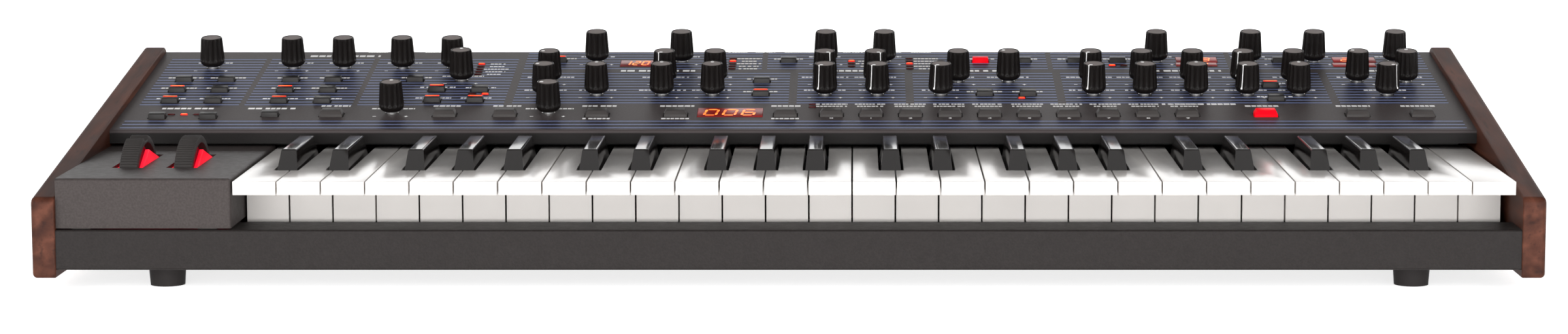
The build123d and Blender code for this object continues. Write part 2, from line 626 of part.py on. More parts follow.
def key_contact_strip():
    """A rubber strip with one dome under each key."""
    whites = []
    for index in range(WHITE_KEYS):
        left = KEYS_LEFT + index * KEY_PITCH
        cuts = [x for _, x in SLOTS if left - SLOT_WIDTH / 2 < x < left + KEY_PITCH + SLOT_WIDTH / 2]
        low = max([x + SLOT_WIDTH / 2 for x in cuts if x < left + KEY_PITCH / 2] + [left])
        high = min([x - SLOT_WIDTH / 2 for x in cuts if x > left + KEY_PITCH / 2] + [left + KEY_PITCH])
        whites.append((low + high) / 2)
    strip = block(BED_LEFT + 1.0, BED_RIGHT - 3.0, RIB_Y - 6.0, RIB_Y + 6.0, STRIP_SEAT, STRIP_SEAT + 1.4)
    height = DOME_TOP - STRIP_SEAT - 1.4
    dome = Cone(3.6, 2.4, height)
    return strip + [Pos(x, RIB_Y, DOME_TOP - height / 2) * dome for x in whites + [x for _, x in SLOTS]]


def key_felts():
    front = block(BED_LEFT, BED_RIGHT, FRONT + 55.5, FRONT + 61.5, STRIP_SEAT + 2.5, STRIP_SEAT + 5.2)
    rear = block(BED_LEFT, BED_RIGHT, FRONT + 172.0, FRONT + 178.0, FLOOR + 2.5, FLOOR + 8.0)
    return [front, rear]


# ---- electronics behind the control panel and on the pan ----
def panel_board():
    board = Box(2 * (INNER - 8.0), PANEL_LENGTH - 25.0, BOARD_THICKNESS)
    return on_panel(0, PANEL_LENGTH / 2 + 1.5, -BOARD_DROP - BOARD_THICKNESS / 2) * board


def potentiometers():
    pot = Pos(0, 0, (-BOARD_DROP - 4.5) / 2) * Box(10.0, 11.0, BOARD_DROP - 4.5)
    pot += upright(BUSH_RADIUS, -4.5, NUT_HEIGHT + 0.3, 0, 0)
    pot += upright(SHAFT_RADIUS, NUT_HEIGHT, SHAFT_TOP, 0, 0)
    return [on_panel(u, v) * pot for u, v in KNOBS]


def potentiometer_nuts():
    nut = extrude(RegularPolygon(NUT_RADIUS, 6), NUT_HEIGHT)
    nut -= upright(BUSH_RADIUS + SHAFT_FIT, 0, NUT_HEIGHT, 0, 0)
    return [on_panel(u, v) * nut for u, v in KNOBS]


def tact_switches():
    switch = Pos(0, 0, (-BOARD_DROP - 7.2) / 2) * Box(6.0, 6.0, BOARD_DROP - 7.2)
    spots = LIT_BUTTONS + SMALL_BUTTONS + NUMBER_BUTTONS + WIDE_BUTTONS
    return [on_panel(u, v) * switch for u, v in spots]


def indicator_leds():
    lamp = Pos(0, 0, (0.3 - BOARD_DROP) / 2) * Box(LAMP_SIZE[0], LAMP_SIZE[1], BOARD_DROP + 0.3)
    lamps = [on_panel(u, v) * lamp for u, v in LAMPS]
    top = -WINDOW_THICKNESS - 0.5
    for u, v, w, d in WINDOWS:
        lamps.append(on_panel(u, v, (top - BOARD_DROP) / 2) * Box(w - 2.0, d - 1.0, BOARD_DROP + top))
    return lamps


def display_windows():
    return [
        on_panel(u, v, -WINDOW_THICKNESS / 2) * Box(w, d, WINDOW_THICKNESS) for u, v, w, d in WINDOWS
    ]


BOARD_LEFT, BOARD_RIGHT = -200.0, 170.0
BOARD_FRONT, BOARD_REAR = HINGE_Y + 12.0, PLATE - 27.0
BOARD_LEVELS = (FLOOR + 6.0, FLOOR + 22.0)


def circuit_boards():
    pieces = []
    below = FLOOR
    for level in BOARD_LEVELS:
        pieces.append(block(BOARD_LEFT, BOARD_RIGHT, BOARD_FRONT, BOARD_REAR, level, level + BOARD_THICKNESS))
        for x in (BOARD_LEFT + 6.0, 0.0, BOARD_RIGHT - 6.0):
            for y in (BOARD_FRONT + 6.0, BOARD_REAR - 6.0):
                pieces.append(upright(3.0, below, level, x, y))
        for column in range(9):
            x = BOARD_LEFT + 28.0 + 36.0 * column
            top = level + BOARD_THICKNESS
            pieces.append(block(x, x + 20.0, BOARD_FRONT + 16.0, BOARD_FRONT + 26.0, top, top + 3.0))
        below = level + BOARD_THICKNESS
    return pieces


def power_supply():
    left, right = 235.0, 345.0
    board = block(left, right, BOARD_FRONT, PLATE - 34.0, FLOOR + 5.0, FLOOR + 6.6)
    feet = [
        upright(3.0, FLOOR, FLOOR + 5.0, x, y)
        for x in (left + 6.0, right - 6.0)
        for y in (BOARD_FRONT + 6.0, PLATE - 40.0)
    ]
    transformer = block(left + 8.0, left + 42.0, BOARD_FRONT + 8.0, BOARD_FRONT + 38.0, FLOOR + 6.6, FLOOR + 32.0)
    sink = block(left + 52.0, left + 56.0, BOARD_FRONT + 6.0, BOARD_FRONT + 40.0, FLOOR + 6.6, FLOOR + 30.0)
    cans = [upright(7.0, FLOOR + 6.6, FLOOR + 28.0, left + x, BOARD_FRONT + 18.0) for x in (70.0, 88.0)]
    return [board, transformer, sink] + feet + cans


# ---- knobs and buttons ----
def knob():
    profile = [
        (0, KNOB_FOOT),
        (4.6, KNOB_FOOT),
        (6.7, KNOB_FOOT + 1.4),
        (KNOB_WIDE, KNOB_FOOT + 2.2),
        (KNOB_NARROW, KNOB_TOP - 0.8),
        (KNOB_NARROW - 0.8, KNOB_TOP - 0.3),
        (KNOB_NARROW - 0.9, KNOB_TOP),
        (0, KNOB_TOP),
    ]
    body = revolve(Plane.XZ * make_face(Polyline(*profile, close=True)), Axis.Z)
    length = KNOB_TOP - KNOB_FOOT - 4.0
    lean = (KNOB_WIDE - KNOB_NARROW) / (KNOB_TOP - KNOB_FOOT) * 57.3
    middle = (KNOB_WIDE + KNOB_NARROW) / 2 + 0.75
    groove = Pos(middle, 0, KNOB_TOP - length / 2 + 0.5) * Rot(0, -lean, 0) * Cylinder(1.3, length)
    body -= [Rot(0, 0, 360 / FLUTES * (n + 0.5)) * groove for n in range(FLUTES)]
    return body - upright(SHAFT_RADIUS + SHAFT_FIT, 0, SHAFT_TOP + 0.5, 0, 0)


def button(cap, slant):
    """A cap through the panel, a flange that keeps it in and a stem down to its switch."""
    width, depth, height = cap
    body = upright_box(width, depth, -3.0, 0.4)
    body += Pos(0, 0, 0.4) * extrude(Rectangle(width, depth), height - 0.4, taper=slant)
    body += upright_box(width + 2.0, depth + 2.0, -3.4, -SHEET - GAP)
    return body + upright_box(3.0, 3.0, -6.0, -3.4)


def upright_box(width, depth, z0, z1):
    return Pos(0, 0, (z0 + z1) / 2) * Box(width, depth, z1 - z0)


# ---- every node ----
save("bottom_pan", bottom_pan())
save("control_panel", control_panel())
save("rear_panel", rear_panel())
save("left_cheek", cheek(-1))
save("right_cheek", cheek(1))
save("wheel_box", wheel_box())
save("wheel_wells", *wheel_wells())
save("wheel_bracket", wheel_bracket())
save("pitch_wheel", pitch_wheel())
save("mod_wheel", mod_wheel())
save("keybed_frame", keybed_frame())
save("key_hinge_rod", rod(HINGE_ROD, BED_LEFT, BED_RIGHT, HINGE_Y, HINGE_Z))
save("key_contact_strip", key_contact_strip())
save("key_felts", *key_felts())
for number, note_name in enumerate(NOTES):
    save(f"keys_{note_name}", *keys(number))
save("panel_board", panel_board())
save("potentiometers", *potentiometers())
save("potentiometer_nuts", *potentiometer_nuts())
save("tact_switches", *tact_switches())
save("indicator_leds", *indicator_leds())
save("display_windows", *display_windows())
save("circuit_boards", *circuit_boards())
save("power_supply", *power_supply())
save("audio_jacks", *audio_jacks())
save("data_sockets", *data_sockets())
save("power_inlet", *power_inlet())
save("power_rocker", power_rocker())
save("case_screws", *case_screws())
save("rubber_feet", *rubber_feet())
save("foot_screws", *foot_screws())

knob_shape = knob()
save("rear_knobs", *[on_panel(u, v) * knob_shape for u, v in OTHER_KNOBS])
for knob_name, (across_u, up_v) in FRONT_KNOBS.items():
    save(knob_name, on_panel(across_u, up_v) * knob_shape)

small_button = button(SMALL_CAP, 12)
wide_button = button(WIDE_CAP, 24)
for button_name, shape, spots in (
    ("small_buttons", small_button, SMALL_BUTTONS),
    ("lit_buttons", small_button, LIT_BUTTONS),
    ("number_buttons", wide_button, NUMBER_BUTTONS),
    ("wide_buttons", wide_button, WIDE_BUTTONS),
):
    save(button_name, *[on_panel(u, v) * shape for u, v in spots])
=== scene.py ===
import json
import math
import random

import bmesh
import bpy
from mathutils import Matrix, Vector

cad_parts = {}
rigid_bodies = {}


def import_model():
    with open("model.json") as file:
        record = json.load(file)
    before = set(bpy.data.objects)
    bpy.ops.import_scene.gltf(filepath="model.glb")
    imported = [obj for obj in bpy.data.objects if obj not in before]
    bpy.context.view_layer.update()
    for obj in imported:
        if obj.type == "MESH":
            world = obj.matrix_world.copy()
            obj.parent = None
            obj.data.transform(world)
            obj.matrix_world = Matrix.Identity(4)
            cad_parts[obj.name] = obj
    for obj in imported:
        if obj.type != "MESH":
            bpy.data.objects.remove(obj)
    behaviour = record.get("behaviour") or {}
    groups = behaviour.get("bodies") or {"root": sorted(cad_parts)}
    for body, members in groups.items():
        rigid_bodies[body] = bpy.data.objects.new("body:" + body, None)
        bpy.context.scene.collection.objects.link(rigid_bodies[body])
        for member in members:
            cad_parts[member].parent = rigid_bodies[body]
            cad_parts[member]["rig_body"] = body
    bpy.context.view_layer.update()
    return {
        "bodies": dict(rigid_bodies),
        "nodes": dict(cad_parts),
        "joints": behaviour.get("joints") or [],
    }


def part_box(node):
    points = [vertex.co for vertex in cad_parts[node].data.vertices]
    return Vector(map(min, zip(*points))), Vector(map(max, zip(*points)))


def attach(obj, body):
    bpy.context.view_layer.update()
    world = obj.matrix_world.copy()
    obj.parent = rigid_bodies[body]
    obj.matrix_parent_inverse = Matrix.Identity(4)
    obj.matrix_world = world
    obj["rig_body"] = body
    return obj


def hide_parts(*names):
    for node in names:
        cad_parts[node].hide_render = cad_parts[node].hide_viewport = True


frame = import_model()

MM = 0.001
NODES = frame["nodes"]
JOINTS = {joint["name"]: joint for joint in frame["joints"]}
marks = random.Random(7)

for left_over in list(bpy.context.scene.objects):  # the start-up cube, lamp and camera
    if "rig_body" not in left_over and left_over not in frame["bodies"].values():
        bpy.data.objects.remove(left_over)


# ---- finishes ----
def scaled(colour, share):
    return tuple(c * share for c in colour)


class Shade:
    """A socket in a finish that takes Python's operators. Vectors go through Vector Math."""

    def __init__(self, finish, socket):
        self.finish, self.socket = finish, socket

    def work(self, operation, *values):
        vector = any(isinstance(v, Shade) and v.socket.type == "VECTOR" for v in values)
        kind = "ShaderNodeVectorMath" if vector else "ShaderNodeMath"
        return self.finish.node(kind, {"operation": operation}, dict(enumerate(values)))

    def __add__(self, other):
        return self.work("ADD", self, other)

    def __radd__(self, other):
        return self.work("ADD", other, self)

    def __sub__(self, other):
        return self.work("SUBTRACT", self, other)

    def __mul__(self, other):
        return self.work("MULTIPLY", self, other)

    def __rmul__(self, other):
        return self.work("MULTIPLY", other, self)

    def __truediv__(self, other):
        return self.work("DIVIDE", self, other)

    def __pow__(self, other):
        return self.work("POWER", self, other)

    def __gt__(self, other):
        return self.work("GREATER_THAN", self, other)

    def __lt__(self, other):
        return self.work("LESS_THAN", self, other)

    def __abs__(self):
        return self.work("ABSOLUTE", self)


class Finish:
    """A material made of nodes."""

    def __init__(self, name):
        self.material = bpy.data.materials.new(name)
        self.material.use_nodes = True
        self.tree = self.material.node_tree
        self.tree.nodes.clear()

    def node(self, kind, settings=None, sockets=None, output=0):
        """Makes any node: its settings first, then the values or links of its sockets."""
        made = self.tree.nodes.new(kind)
        for key, value in (settings or {}).items():
            if key == "stops":
                ramp = made.color_ramp
                while len(ramp.elements) < len(value):
                    ramp.elements.new(0.5)
                for element, (at, colour) in zip(ramp.elements, value):
                    element.position, element.color = at, (*colour, 1.0)
            else:
                setattr(made, key, value)
        for key, value in (sockets or {}).items():
            socket = made.inputs[key]
            if isinstance(value, Shade):
                self.tree.links.new(value.socket, socket)
            elif socket.type == "VECTOR" and isinstance(value, (int, float)):
                socket.default_value = (value,) * 3
            elif socket.type == "RGBA" and len(value) == 3:
                socket.default_value = (*value, 1.0)
            else:
                socket.default_value = value
        return Shade(self, made.outputs[output]) if len(made.outputs) else None

    def place(self, stretch=(1, 1, 1)):
        """Where a point is on the piece, stretched along its own axes."""
        return self.node("ShaderNodeTexCoord", output="Object") * self.node(
            "ShaderNodeCombineXYZ", sockets=dict(enumerate(stretch))
        )

    def noise(self, scale, detail=3.0, stretch=(1, 1, 1), rough=0.5):
        sockets = {"Vector": self.place(stretch), "Scale": scale, "Detail": detail, "Roughness": rough}
        return self.node("ShaderNodeTexNoise", sockets=sockets)

    def spots(self, scale, stretch=(1, 1, 1)):
        sockets = {"Vector": self.place(stretch), "Scale": scale}
        return self.node("ShaderNodeTexVoronoi", sockets=sockets)

    def ramp(self, value, *stops):
        return self.node("ShaderNodeValToRGB", {"stops": stops}, {"Fac": value})

    def mix(self, share, first, second):
        sockets = {0: share, 6: first, 7: second}
        return self.node("ShaderNodeMix", {"data_type": "RGBA"}, sockets, output=2)

    def tint(self, colour, share, scale, detail=3.0, stretch=(1, 1, 1)):
        """A colour that drifts lighter and darker by that share."""
        low = scaled(colour, 1 - share)
        high = tuple(min(1.0, c) for c in scaled(colour, 1 + share))
        return self.ramp(self.noise(scale, detail, stretch), (0.3, low), (0.7, high))

    def bump(self, height, depth, strength=1.0):
        sockets = {"Strength": strength, "Distance": depth, "Height": height}
        return self.node("ShaderNodeBump", sockets=sockets)

    def done(self, base, rough, normal=None, **more):
        """Ends the finish in a Principled shader."""
        sockets = {"Base Color": base, "Roughness": rough}
        if normal is not None:
            sockets["Normal"] = normal
        sockets.update({key.replace("_", " "): value for key, value in more.items()})
        skin = self.node("ShaderNodeBsdfPrincipled", sockets=sockets)
        self.node("ShaderNodeOutputMaterial", sockets={"Surface": skin})
        return self.material


def powder_coat(name, colour, grain=900.0, depth=0.00016):
    """Sprayed textured paint: small soft pimples under a low sheen."""
    f = Finish(name)
    pimples = f.noise(grain, 2.0, rough=0.45)
    fine = f.noise(grain * 3.2, 2.0)
    height = pimples * 0.75 + fine * 0.25
    rough = 0.44 + 0.16 * f.noise(240.0)
    raised = f.ramp(pimples, (0.35, (0, 0, 0)), (0.75, (1, 1, 1)))
    base = f.mix(raised, scaled(colour, 0.86), scaled(colour, 1.18))
    return f.done(base, rough, f.bump(height, depth), Specular_IOR_Level=0.15)


def printed_paint(name, colour, field, fields, origin, slope):
    """Smooth satin paint with dark fields under the printed lines, and near-black faces below the front nose
    as painted shade.
    """
    f = Finish(name)
    parts = f.node("ShaderNodeTexCoord", output="Object")
    x, y, z = (f.node("ShaderNodeSeparateXYZ", sockets={0: parts}, output=i) for i in range(3))
    up = (y - origin.y) / math.cos(slope)
    top = (z - origin.z - (y - origin.y) * math.tan(slope)) > -0.0004
    shares = None
    for left, right, low, high in fields:
        inside = (x > left * MM) * (x < right * MM) * (up > low * MM) * (up < high * MM)
        shares = inside if shares is None else shares + inside
    dusty = f.noise(60.0, 4.0)
    paint = f.mix(dusty, scaled(colour, 0.94), scaled(colour, 1.06))
    # Painted shade: the faces below the front nose get a near-black base that stands for the shadow lying on
    # them.
    lip_shade = (y < origin.y + 0.0006) * (z < origin.z - 0.0016)
    base = f.mix(lip_shade, f.mix(shares * top, paint, field), (0.005, 0.0038, 0.0035))
    rough = 0.46 + 0.1 * f.noise(900.0, 2.0)
    return f.done(base, rough, f.bump(f.noise(2600.0, 2.0), 0.00001), Specular_IOR_Level=0.16)


def walnut_finish(name, turn):
    """Oiled walnut with the grain along the cheek."""
    f = Finish(name)
    drift = f.noise(5.0, 3.0, (1.0, 0.7, 1.3))
    streaks = f.noise(13.0, 6.0, (9.0, 0.55 + 0.1 * turn, 11.0), 0.62)
    rings = f.noise(6.0, 2.0, (7.0, 0.35, 8.0 + turn)) * 9.0
    bands = f.node("ShaderNodeMath", {"operation": "PINGPONG"}, {0: rings, 1: 1.0})
    pores = f.noise(260.0, 2.0, (1.0, 0.05, 1.0))
    grain = streaks * 0.6 + bands * 0.18 + drift * 0.22
    base = f.ramp(
        grain,
        (0.30, (0.024, 0.0062, 0.0032)),
        (0.46, (0.046, 0.0136, 0.0070)),
        (0.58, (0.070, 0.0225, 0.0125)),
        (0.74, (0.116, 0.0400, 0.0230)),
    )
    dark = f.ramp(pores, (0.30, (1, 1, 1)), (0.42, (0, 0, 0)))
    base = f.mix(dark * 0.55, base, (0.014, 0.005, 0.003))
    rough = 0.46 + 0.2 * streaks
    return f.done(base, rough, f.bump(pores * 0.6 + streaks * 0.4, 0.00022), Specular_IOR_Level=0.14)


def moulding(name, colour, rough, grain=1500.0, depth=0.000012, **more):
    """Moulded plastic with a faint spark-eroded skin."""
    f = Finish(name)
    skin = f.noise(grain, 2.0)
    base = f.tint(colour, 0.10, 90.0)
    sheen = rough * 0.85 + f.noise(180.0, 3.0) * (rough * 0.3)
    return f.done(base, sheen, f.bump(skin, depth), **more)


def polished(name, colour, rough, wave, **more):
    """Polished key plastic: nearly a mirror, with slow waves and fine handling marks."""
    f = Finish(name)
    slow = f.noise(38.0, 2.0)
    wear = f.noise(420.0, 3.0, (1.0, 0.25, 1.0))
    base = f.tint(colour, 0.025, 24.0, 4.0)
    return f.done(base, rough + wear * 0.04, f.bump(slow, wave), **more)


def metal(name, colour, rough, stretch=(1, 1, 1), scale=500.0, depth=0.00001):
    f = Finish(name)
    brushed = f.noise(scale, 4.0, stretch)
    base = f.tint(colour, 0.08, 120.0)
    return f.done(base, rough * 0.8 + brushed * (rough * 0.45), f.bump(brushed, depth), Metallic=1.0)


def rubber(name, colour, rough=0.7, grain=700.0):
    f = Finish(name)
    skin = f.noise(grain, 4.0)
    dust = f.ramp(f.noise(70.0, 5.0), (0.45, (0, 0, 0)), (0.85, (1, 1, 1)))
    base = f.mix(dust * 0.35, colour, scaled(colour, 1.8))
    return f.done(base, rough + skin * 0.15, f.bump(skin, 0.00003), Specular_IOR_Level=0.2)


def glowing(name, colour, hot, strength, base=(0.4, 0.01, 0.01), scale=260.0, level=0.15):
    """A lens lit from below, hotter where the lamp sits. The red caps, the wheels' webs and the tents in the
    wheel wells use it too, and there the glow is painted light.
    """
    f = Finish(name)
    cloud = f.noise(scale, 2.0)
    light = f.ramp(cloud, (0.3, colour), (0.72, hot))
    return f.done(
        f.tint(base, 0.1, 200.0), 0.3 + cloud * 0.1, f.bump(cloud, 0.00002),
        Emission_Color=light, Emission_Strength=strength, Specular_IOR_Level=level,
    )


def ink(name, colour):
    """Screen-printed ink, a little uneven where the mesh of the screen was."""
    f = Finish(name)
    weave = f.spots(2400.0)
    return f.done(f.tint(colour, 0.07, 700.0), 0.42 + weave * 0.14, f.bump(weave, 0.000004))


def cloth(name, colour):
    f = Finish(name)
    fibre = f.noise(1600.0, 5.0, (1.0, 0.3, 1.0))
    base = f.tint(colour, 0.25, 900.0)
    return f.done(base, 0.85 + fibre * 0.1, f.bump(fibre, 0.0002), Sheen_Weight=0.4)


def board_mask(name, colour, track):
    """Solder mask over copper tracks."""
    f = Finish(name)
    sockets = {
        "Vector": f.place(), "Scale": 160.0, "Mortar Size": 0.03,
        "Color1": colour, "Color2": scaled(colour, 1.25), "Mortar": track,
    }
    tracks = f.node("ShaderNodeTexBrick", {}, sockets)
    return f.done(tracks, 0.3 + 0.1 * f.noise(300.0), f.bump(f.noise(600.0), 0.00002))


# ---- the panel's own frame: u across, v up from its front edge, h above it ----
axis = Vector(JOINTS["volume_knob_turn"]["axis"])
SLOPE = math.atan2(axis.y, -axis.z)
OUT = -axis.normalized()
panel_low, panel_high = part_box("control_panel")
JOINT_HIGH = 10  # a knob's joint sits this far above the panel
shaft = Vector(JOINTS["volume_knob_turn"]["pos_m"]) - OUT * JOINT_HIGH * MM
front_edge = shaft.z - (shaft.y - panel_low.y) * math.tan(SLOPE)
ORIGIN = Vector((0, panel_low.y, front_edge))
PANEL = Matrix.Translation(ORIGIN) @ Matrix.Rotation(SLOPE, 4, "X")
LEVEL = Matrix.Identity(4)
HALF = panel_high.x / MM

LEFT_LINES = [54.2 + 6.1 * i for i in range(18)]
MAIN_LINES = [58.5 + 6.05 * i for i in range(12)]
UPPER_LINES = [136.5 + 6.0 * i for i in range(7)]
LEFT_SPANS = [(-HALF + 7.0, -325.3), (-322.0, -259.2), (-256.0, -170.6)]
MAIN_SPANS = [(-165.8, -3.8), (1.0, 65.2), (70.0, 154.4), (159.2, 315.0), (319.8, HALF - 7.0)]
UPPER_SPANS = [(-165.8, -21.3), (-18.1, 152.4), (155.6, 262.4), (265.6, HALF - 7.0)]
FOOT_LINES = [5.0, 12.0, 19.0]
FOOT_SPAN = (-HALF + 5.0, HALF - 5.0)
WIDE_RIM, NARROW_RIM = 2.2, 1.6  # how far a field reaches past its outer lines
FIELDS = [(a, b, LEFT_LINES[0] - WIDE_RIM, LEFT_LINES[-1] + WIDE_RIM) for a, b in LEFT_SPANS]
FIELDS += [(a, b, MAIN_LINES[0] - WIDE_RIM, MAIN_LINES[-1] + WIDE_RIM) for a, b in MAIN_SPANS]
FIELDS += [(a, b, UPPER_LINES[0] - WIDE_RIM, UPPER_LINES[-1] + NARROW_RIM) for a, b in UPPER_SPANS]
FIELDS += [(*FOOT_SPAN, FOOT_LINES[0] - NARROW_RIM, FOOT_LINES[-1] + NARROW_RIM)]

case_coat = powder_coat("case_coat", (0.041, 0.0335, 0.0320))
# Painted shade: the bottom pan wears the case's powder coat about three times darker, standing for the light
# falling off towards the bottom.
shaded_bar_coat = powder_coat("shaded_bar_coat", (0.0140, 0.0112, 0.0106))
panel_paint = printed_paint(
    "panel_paint", (0.047, 0.038, 0.038), (0.021, 0.019, 0.026), FIELDS, ORIGIN, SLOPE
)
walnut = walnut_finish("walnut", 0)
walnut_other = walnut_finish("walnut_other", 1)
knob_black = moulding("knob_black", (0.0065, 0.0052, 0.0049), 0.34, Specular_IOR_Level=0.08)
knob_disc = moulding("knob_disc", (0.150, 0.126, 0.118), 0.6, 700.0, 0.00004, Specular_IOR_Level=0.3)
CAP_GRAIN = (1100.0, 0.00002)
button_black = moulding("button_black", (0.0085, 0.0070, 0.0065), 0.42, *CAP_GRAIN, Specular_IOR_Level=0.22)
wide_black = moulding("wide_black", (0.028, 0.0235, 0.0220), 0.5, *CAP_GRAIN, Specular_IOR_Level=0.3)
plain_black = moulding("plain_black", (0.018, 0.017, 0.017), 0.5, 800.0, 0.00003)
socket_black = moulding("socket_black", (0.016, 0.016, 0.017), 0.38)
key_ivory = polished("key_ivory", (0.68, 0.650, 0.625), 0.17, 0.00008, Specular_IOR_Level=0.22)
key_ebony = polished("key_ebony", (0.0065, 0.0050, 0.0045), 0.10, 0.000008, Specular_IOR_Level=0.6)
seam_grey = ink("seam_grey", (0.34, 0.33, 0.32))
line_blue = ink("line_blue", (0.165, 0.210, 0.400))
line_white = ink("line_white", (0.80, 0.79, 0.78))
bright_nickel = metal("bright_nickel", (0.70, 0.68, 0.65), 0.22)
brushed_steel = metal("brushed_steel", (0.58, 0.58, 0.58), 0.32, (0.05, 1, 1))
black_zinc = metal("black_zinc", (0.045, 0.045, 0.05), 0.4)
gold_pin = metal("gold_pin", (0.80, 0.60, 0.25), 0.22)
tread_rubber = rubber("tread_rubber", (0.026, 0.023, 0.022), 0.55)
foot_rubber = rubber("foot_rubber", (0.012, 0.0098, 0.0095), 0.62)
strip_rubber = rubber("strip_rubber", (0.02, 0.02, 0.02))
red_felt = cloth("red_felt", (0.30, 0.02, 0.02))
circuit_green = board_mask("circuit_green", (0.015, 0.09, 0.035), (0.04, 0.2, 0.09))
# Painted shade: the panel board is seen only in the gap behind the panel's front edge, and is coloured
# near-black for the shadow in that gap.
board_black_painted_shade = board_mask("board_black_painted_shade", (0.006, 0.006, 0.006), (0.012, 0.012, 0.012))
lamp_red = glowing("lamp_red", (1.0, 0.010, 0.004), (1.0, 0.030, 0.008), 1.5, (0.3, 0.004, 0.004))
lamp_core = glowing("lamp_core", (1.0, 0.10, 0.02), (1.0, 0.26, 0.06), 2.3)
lamp_dim = moulding("lamp_dim", (0.045, 0.003, 0.003), 0.4, 900.0, 0.00001, Specular_IOR_Level=0.1)
# Painted glow: the red record and write caps get a faint red emission over their red base, brightening the
# plastic as if lit.
cap_red_painted_glow = glowing(
    "cap_red_painted_glow", (1.0, 0.002, 0.010), (1.0, 0.006, 0.016), 0.30, (0.62, 0.002, 0.008), level=0.02
)
# Painted light: the tents in the wheel wells and the wheels' webs glow red, standing for the red light of
# the lamp under the wheels falling on the wheels' sides; neither is itself a lamp.
wheel_tent_painted_glow = glowing("wheel_tent_painted_glow", (0.75, 0.0, 0.012), (1.0, 0.02, 0.05), 0.85, (0.55, 0.004, 0.02), 60.0)
wheel_web_painted_glow = glowing(
    "wheel_web_painted_glow", (0.10, 0.0, 0.003), (0.28, 0.0, 0.01), 0.5, (0.12, 0.003, 0.008), 60.0
)
window_red = glowing(
    "window_red", (0.10, 0.0006, 0.0006), (0.42, 0.004, 0.003), 0.55, (0.05, 0.001, 0.001), 90.0
)
segment_hot = glowing("segment_hot", (1.0, 0.14, 0.02), (1.0, 0.34, 0.06), 1.9)


# ---- shapes ----
def smooth(mesh, angle=32.0):
    mesh.shade_smooth()
    mesh.set_sharp_from_angle(angle=math.radians(angle))


def show(name, shape, finishes, body, stands_for=(), place=None, angle=32.0):
    """Puts a bmesh or a finished mesh in the scene, riding on a body."""
    mesh = shape
    if isinstance(shape, bmesh.types.BMesh):
        mesh = bpy.data.meshes.new(name)
        bmesh.ops.recalc_face_normals(shape, faces=shape.faces)
        shape.to_mesh(mesh)
        shape.free()
        for finish in finishes if isinstance(finishes, list) else [finishes]:
            mesh.materials.append(finish)
        smooth(mesh, angle)
    if place is not None:
        mesh = mesh.copy()
        mesh.transform(place)
    made = bpy.data.objects.new(name, mesh)
    bpy.context.scene.collection.objects.link(made)
    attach(made, body)
    if stands_for:
        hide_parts(*stands_for)
    return made


def members(node, into=LEVEL):
    """The corners of each separate piece of a node, in a frame of one's choice, from left to right."""
    shape = bmesh.new()
    shape.from_mesh(NODES[node].data)
    bmesh.ops.remove_doubles(shape, verts=shape.verts, dist=1e-6)
    shape.verts.ensure_lookup_table()
    inverse = into.inverted()
    seen, found = set(), []
    for first in shape.verts:
        if first in seen:
            continue
        seen.add(first)
        waiting, spots = [first], []
        while waiting:
            vert = waiting.pop()
            spots.append(inverse @ vert.co)
            for edge in vert.link_edges:
                other = edge.other_vert(vert)
                if other not in seen:
                    seen.add(other)
                    waiting.append(other)
        low = Vector(min(p[i] for p in spots) for i in range(3))
        high = Vector(max(p[i] for p in spots) for i in range(3))
        found.append((low, high))
    shape.free()
    return sorted(found, key=lambda pair: (pair[0].x + pair[1].x))


def soften(node, radius, segments=3, angle=28.0):
    """A node's own shape with its hard edges rounded."""
    shape = bmesh.new()
    shape.from_mesh(NODES[node].data)
    bmesh.ops.remove_doubles(shape, verts=shape.verts, dist=2e-6)
    bmesh.ops.dissolve_limit(shape, angle_limit=math.radians(1.0), verts=shape.verts, edges=shape.edges)
    hard = [e for e in shape.edges if e.is_manifold and e.calc_face_angle(0) > math.radians(angle)]
    bmesh.ops.bevel(
        shape, geom=hard, offset=radius * MM, offset_type="OFFSET", segments=segments, profile=0.5,
        affect="EDGES", clamp_overlap=True, harden_normals=False,
    )
    return shape


def slab(shape, outline, low, high, place=LEVEL, shrink=1.0, edge=0.0, segments=2, material=0):
    """Adds a plate: an outline in millimetres drawn out from low to high.

    Its top can be shrunk and its upper edges rounded.
    """
    cx = sum(p[0] for p in outline) / len(outline)
    cy = sum(p[1] for p in outline) / len(outline)
    sx, sy = shrink if isinstance(shrink, tuple) else (shrink, shrink)
    bottom = [shape.verts.new(place @ Vector((x * MM, y * MM, low * MM))) for x, y in outline]
    top = [
        shape.verts.new(
            place @ Vector(((cx + (x - cx) * sx) * MM, (cy + (y - cy) * sy) * MM, high * MM))
        )
        for x, y in outline
    ]
    count = len(outline)
    faces = [shape.faces.new(bottom[::-1]), shape.faces.new(top)]
    for i in range(count):
        j = (i + 1) % count
        faces.append(shape.faces.new((bottom[i], bottom[j], top[j], top[i])))
    for face in faces:
        face.material_index = material
    if edge:
        rims = set(faces[1].edges)
        rims |= {e for f in faces[2:] for e in f.edges if e.verts[0] in top or e.verts[1] in top}
        made = bmesh.ops.bevel(
            shape, geom=list(rims), offset=edge * MM, offset_type="OFFSET", segments=segments, profile=0.5,
            affect="EDGES", clamp_overlap=True,
        )
        for face in made["faces"]:
            face.material_index = material


def oblong(u, v, width, depth):
    return [
        (u - width / 2, v - depth / 2),
        (u + width / 2, v - depth / 2),
        (u + width / 2, v + depth / 2),
        (u - width / 2, v + depth / 2),
    ]


def ringed(shape, rows, place=LEVEL, material=0, caps=True):
    """Adds a skin over rows of points, each row a closed ring."""
    rings = [[shape.verts.new(place @ (Vector(p) * MM)) for p in row] for row in rows]
    for lower, upper in zip(rings, rings[1:]):
        for i in range(len(lower)):
            j = (i + 1) % len(lower)
            shape.faces.new((lower[i], lower[j], upper[j], upper[i])).material_index = material
    if caps:
        shape.faces.new(rings[0][::-1]).material_index = material
        shape.faces.new(rings[-1]).material_index = material
    return rings


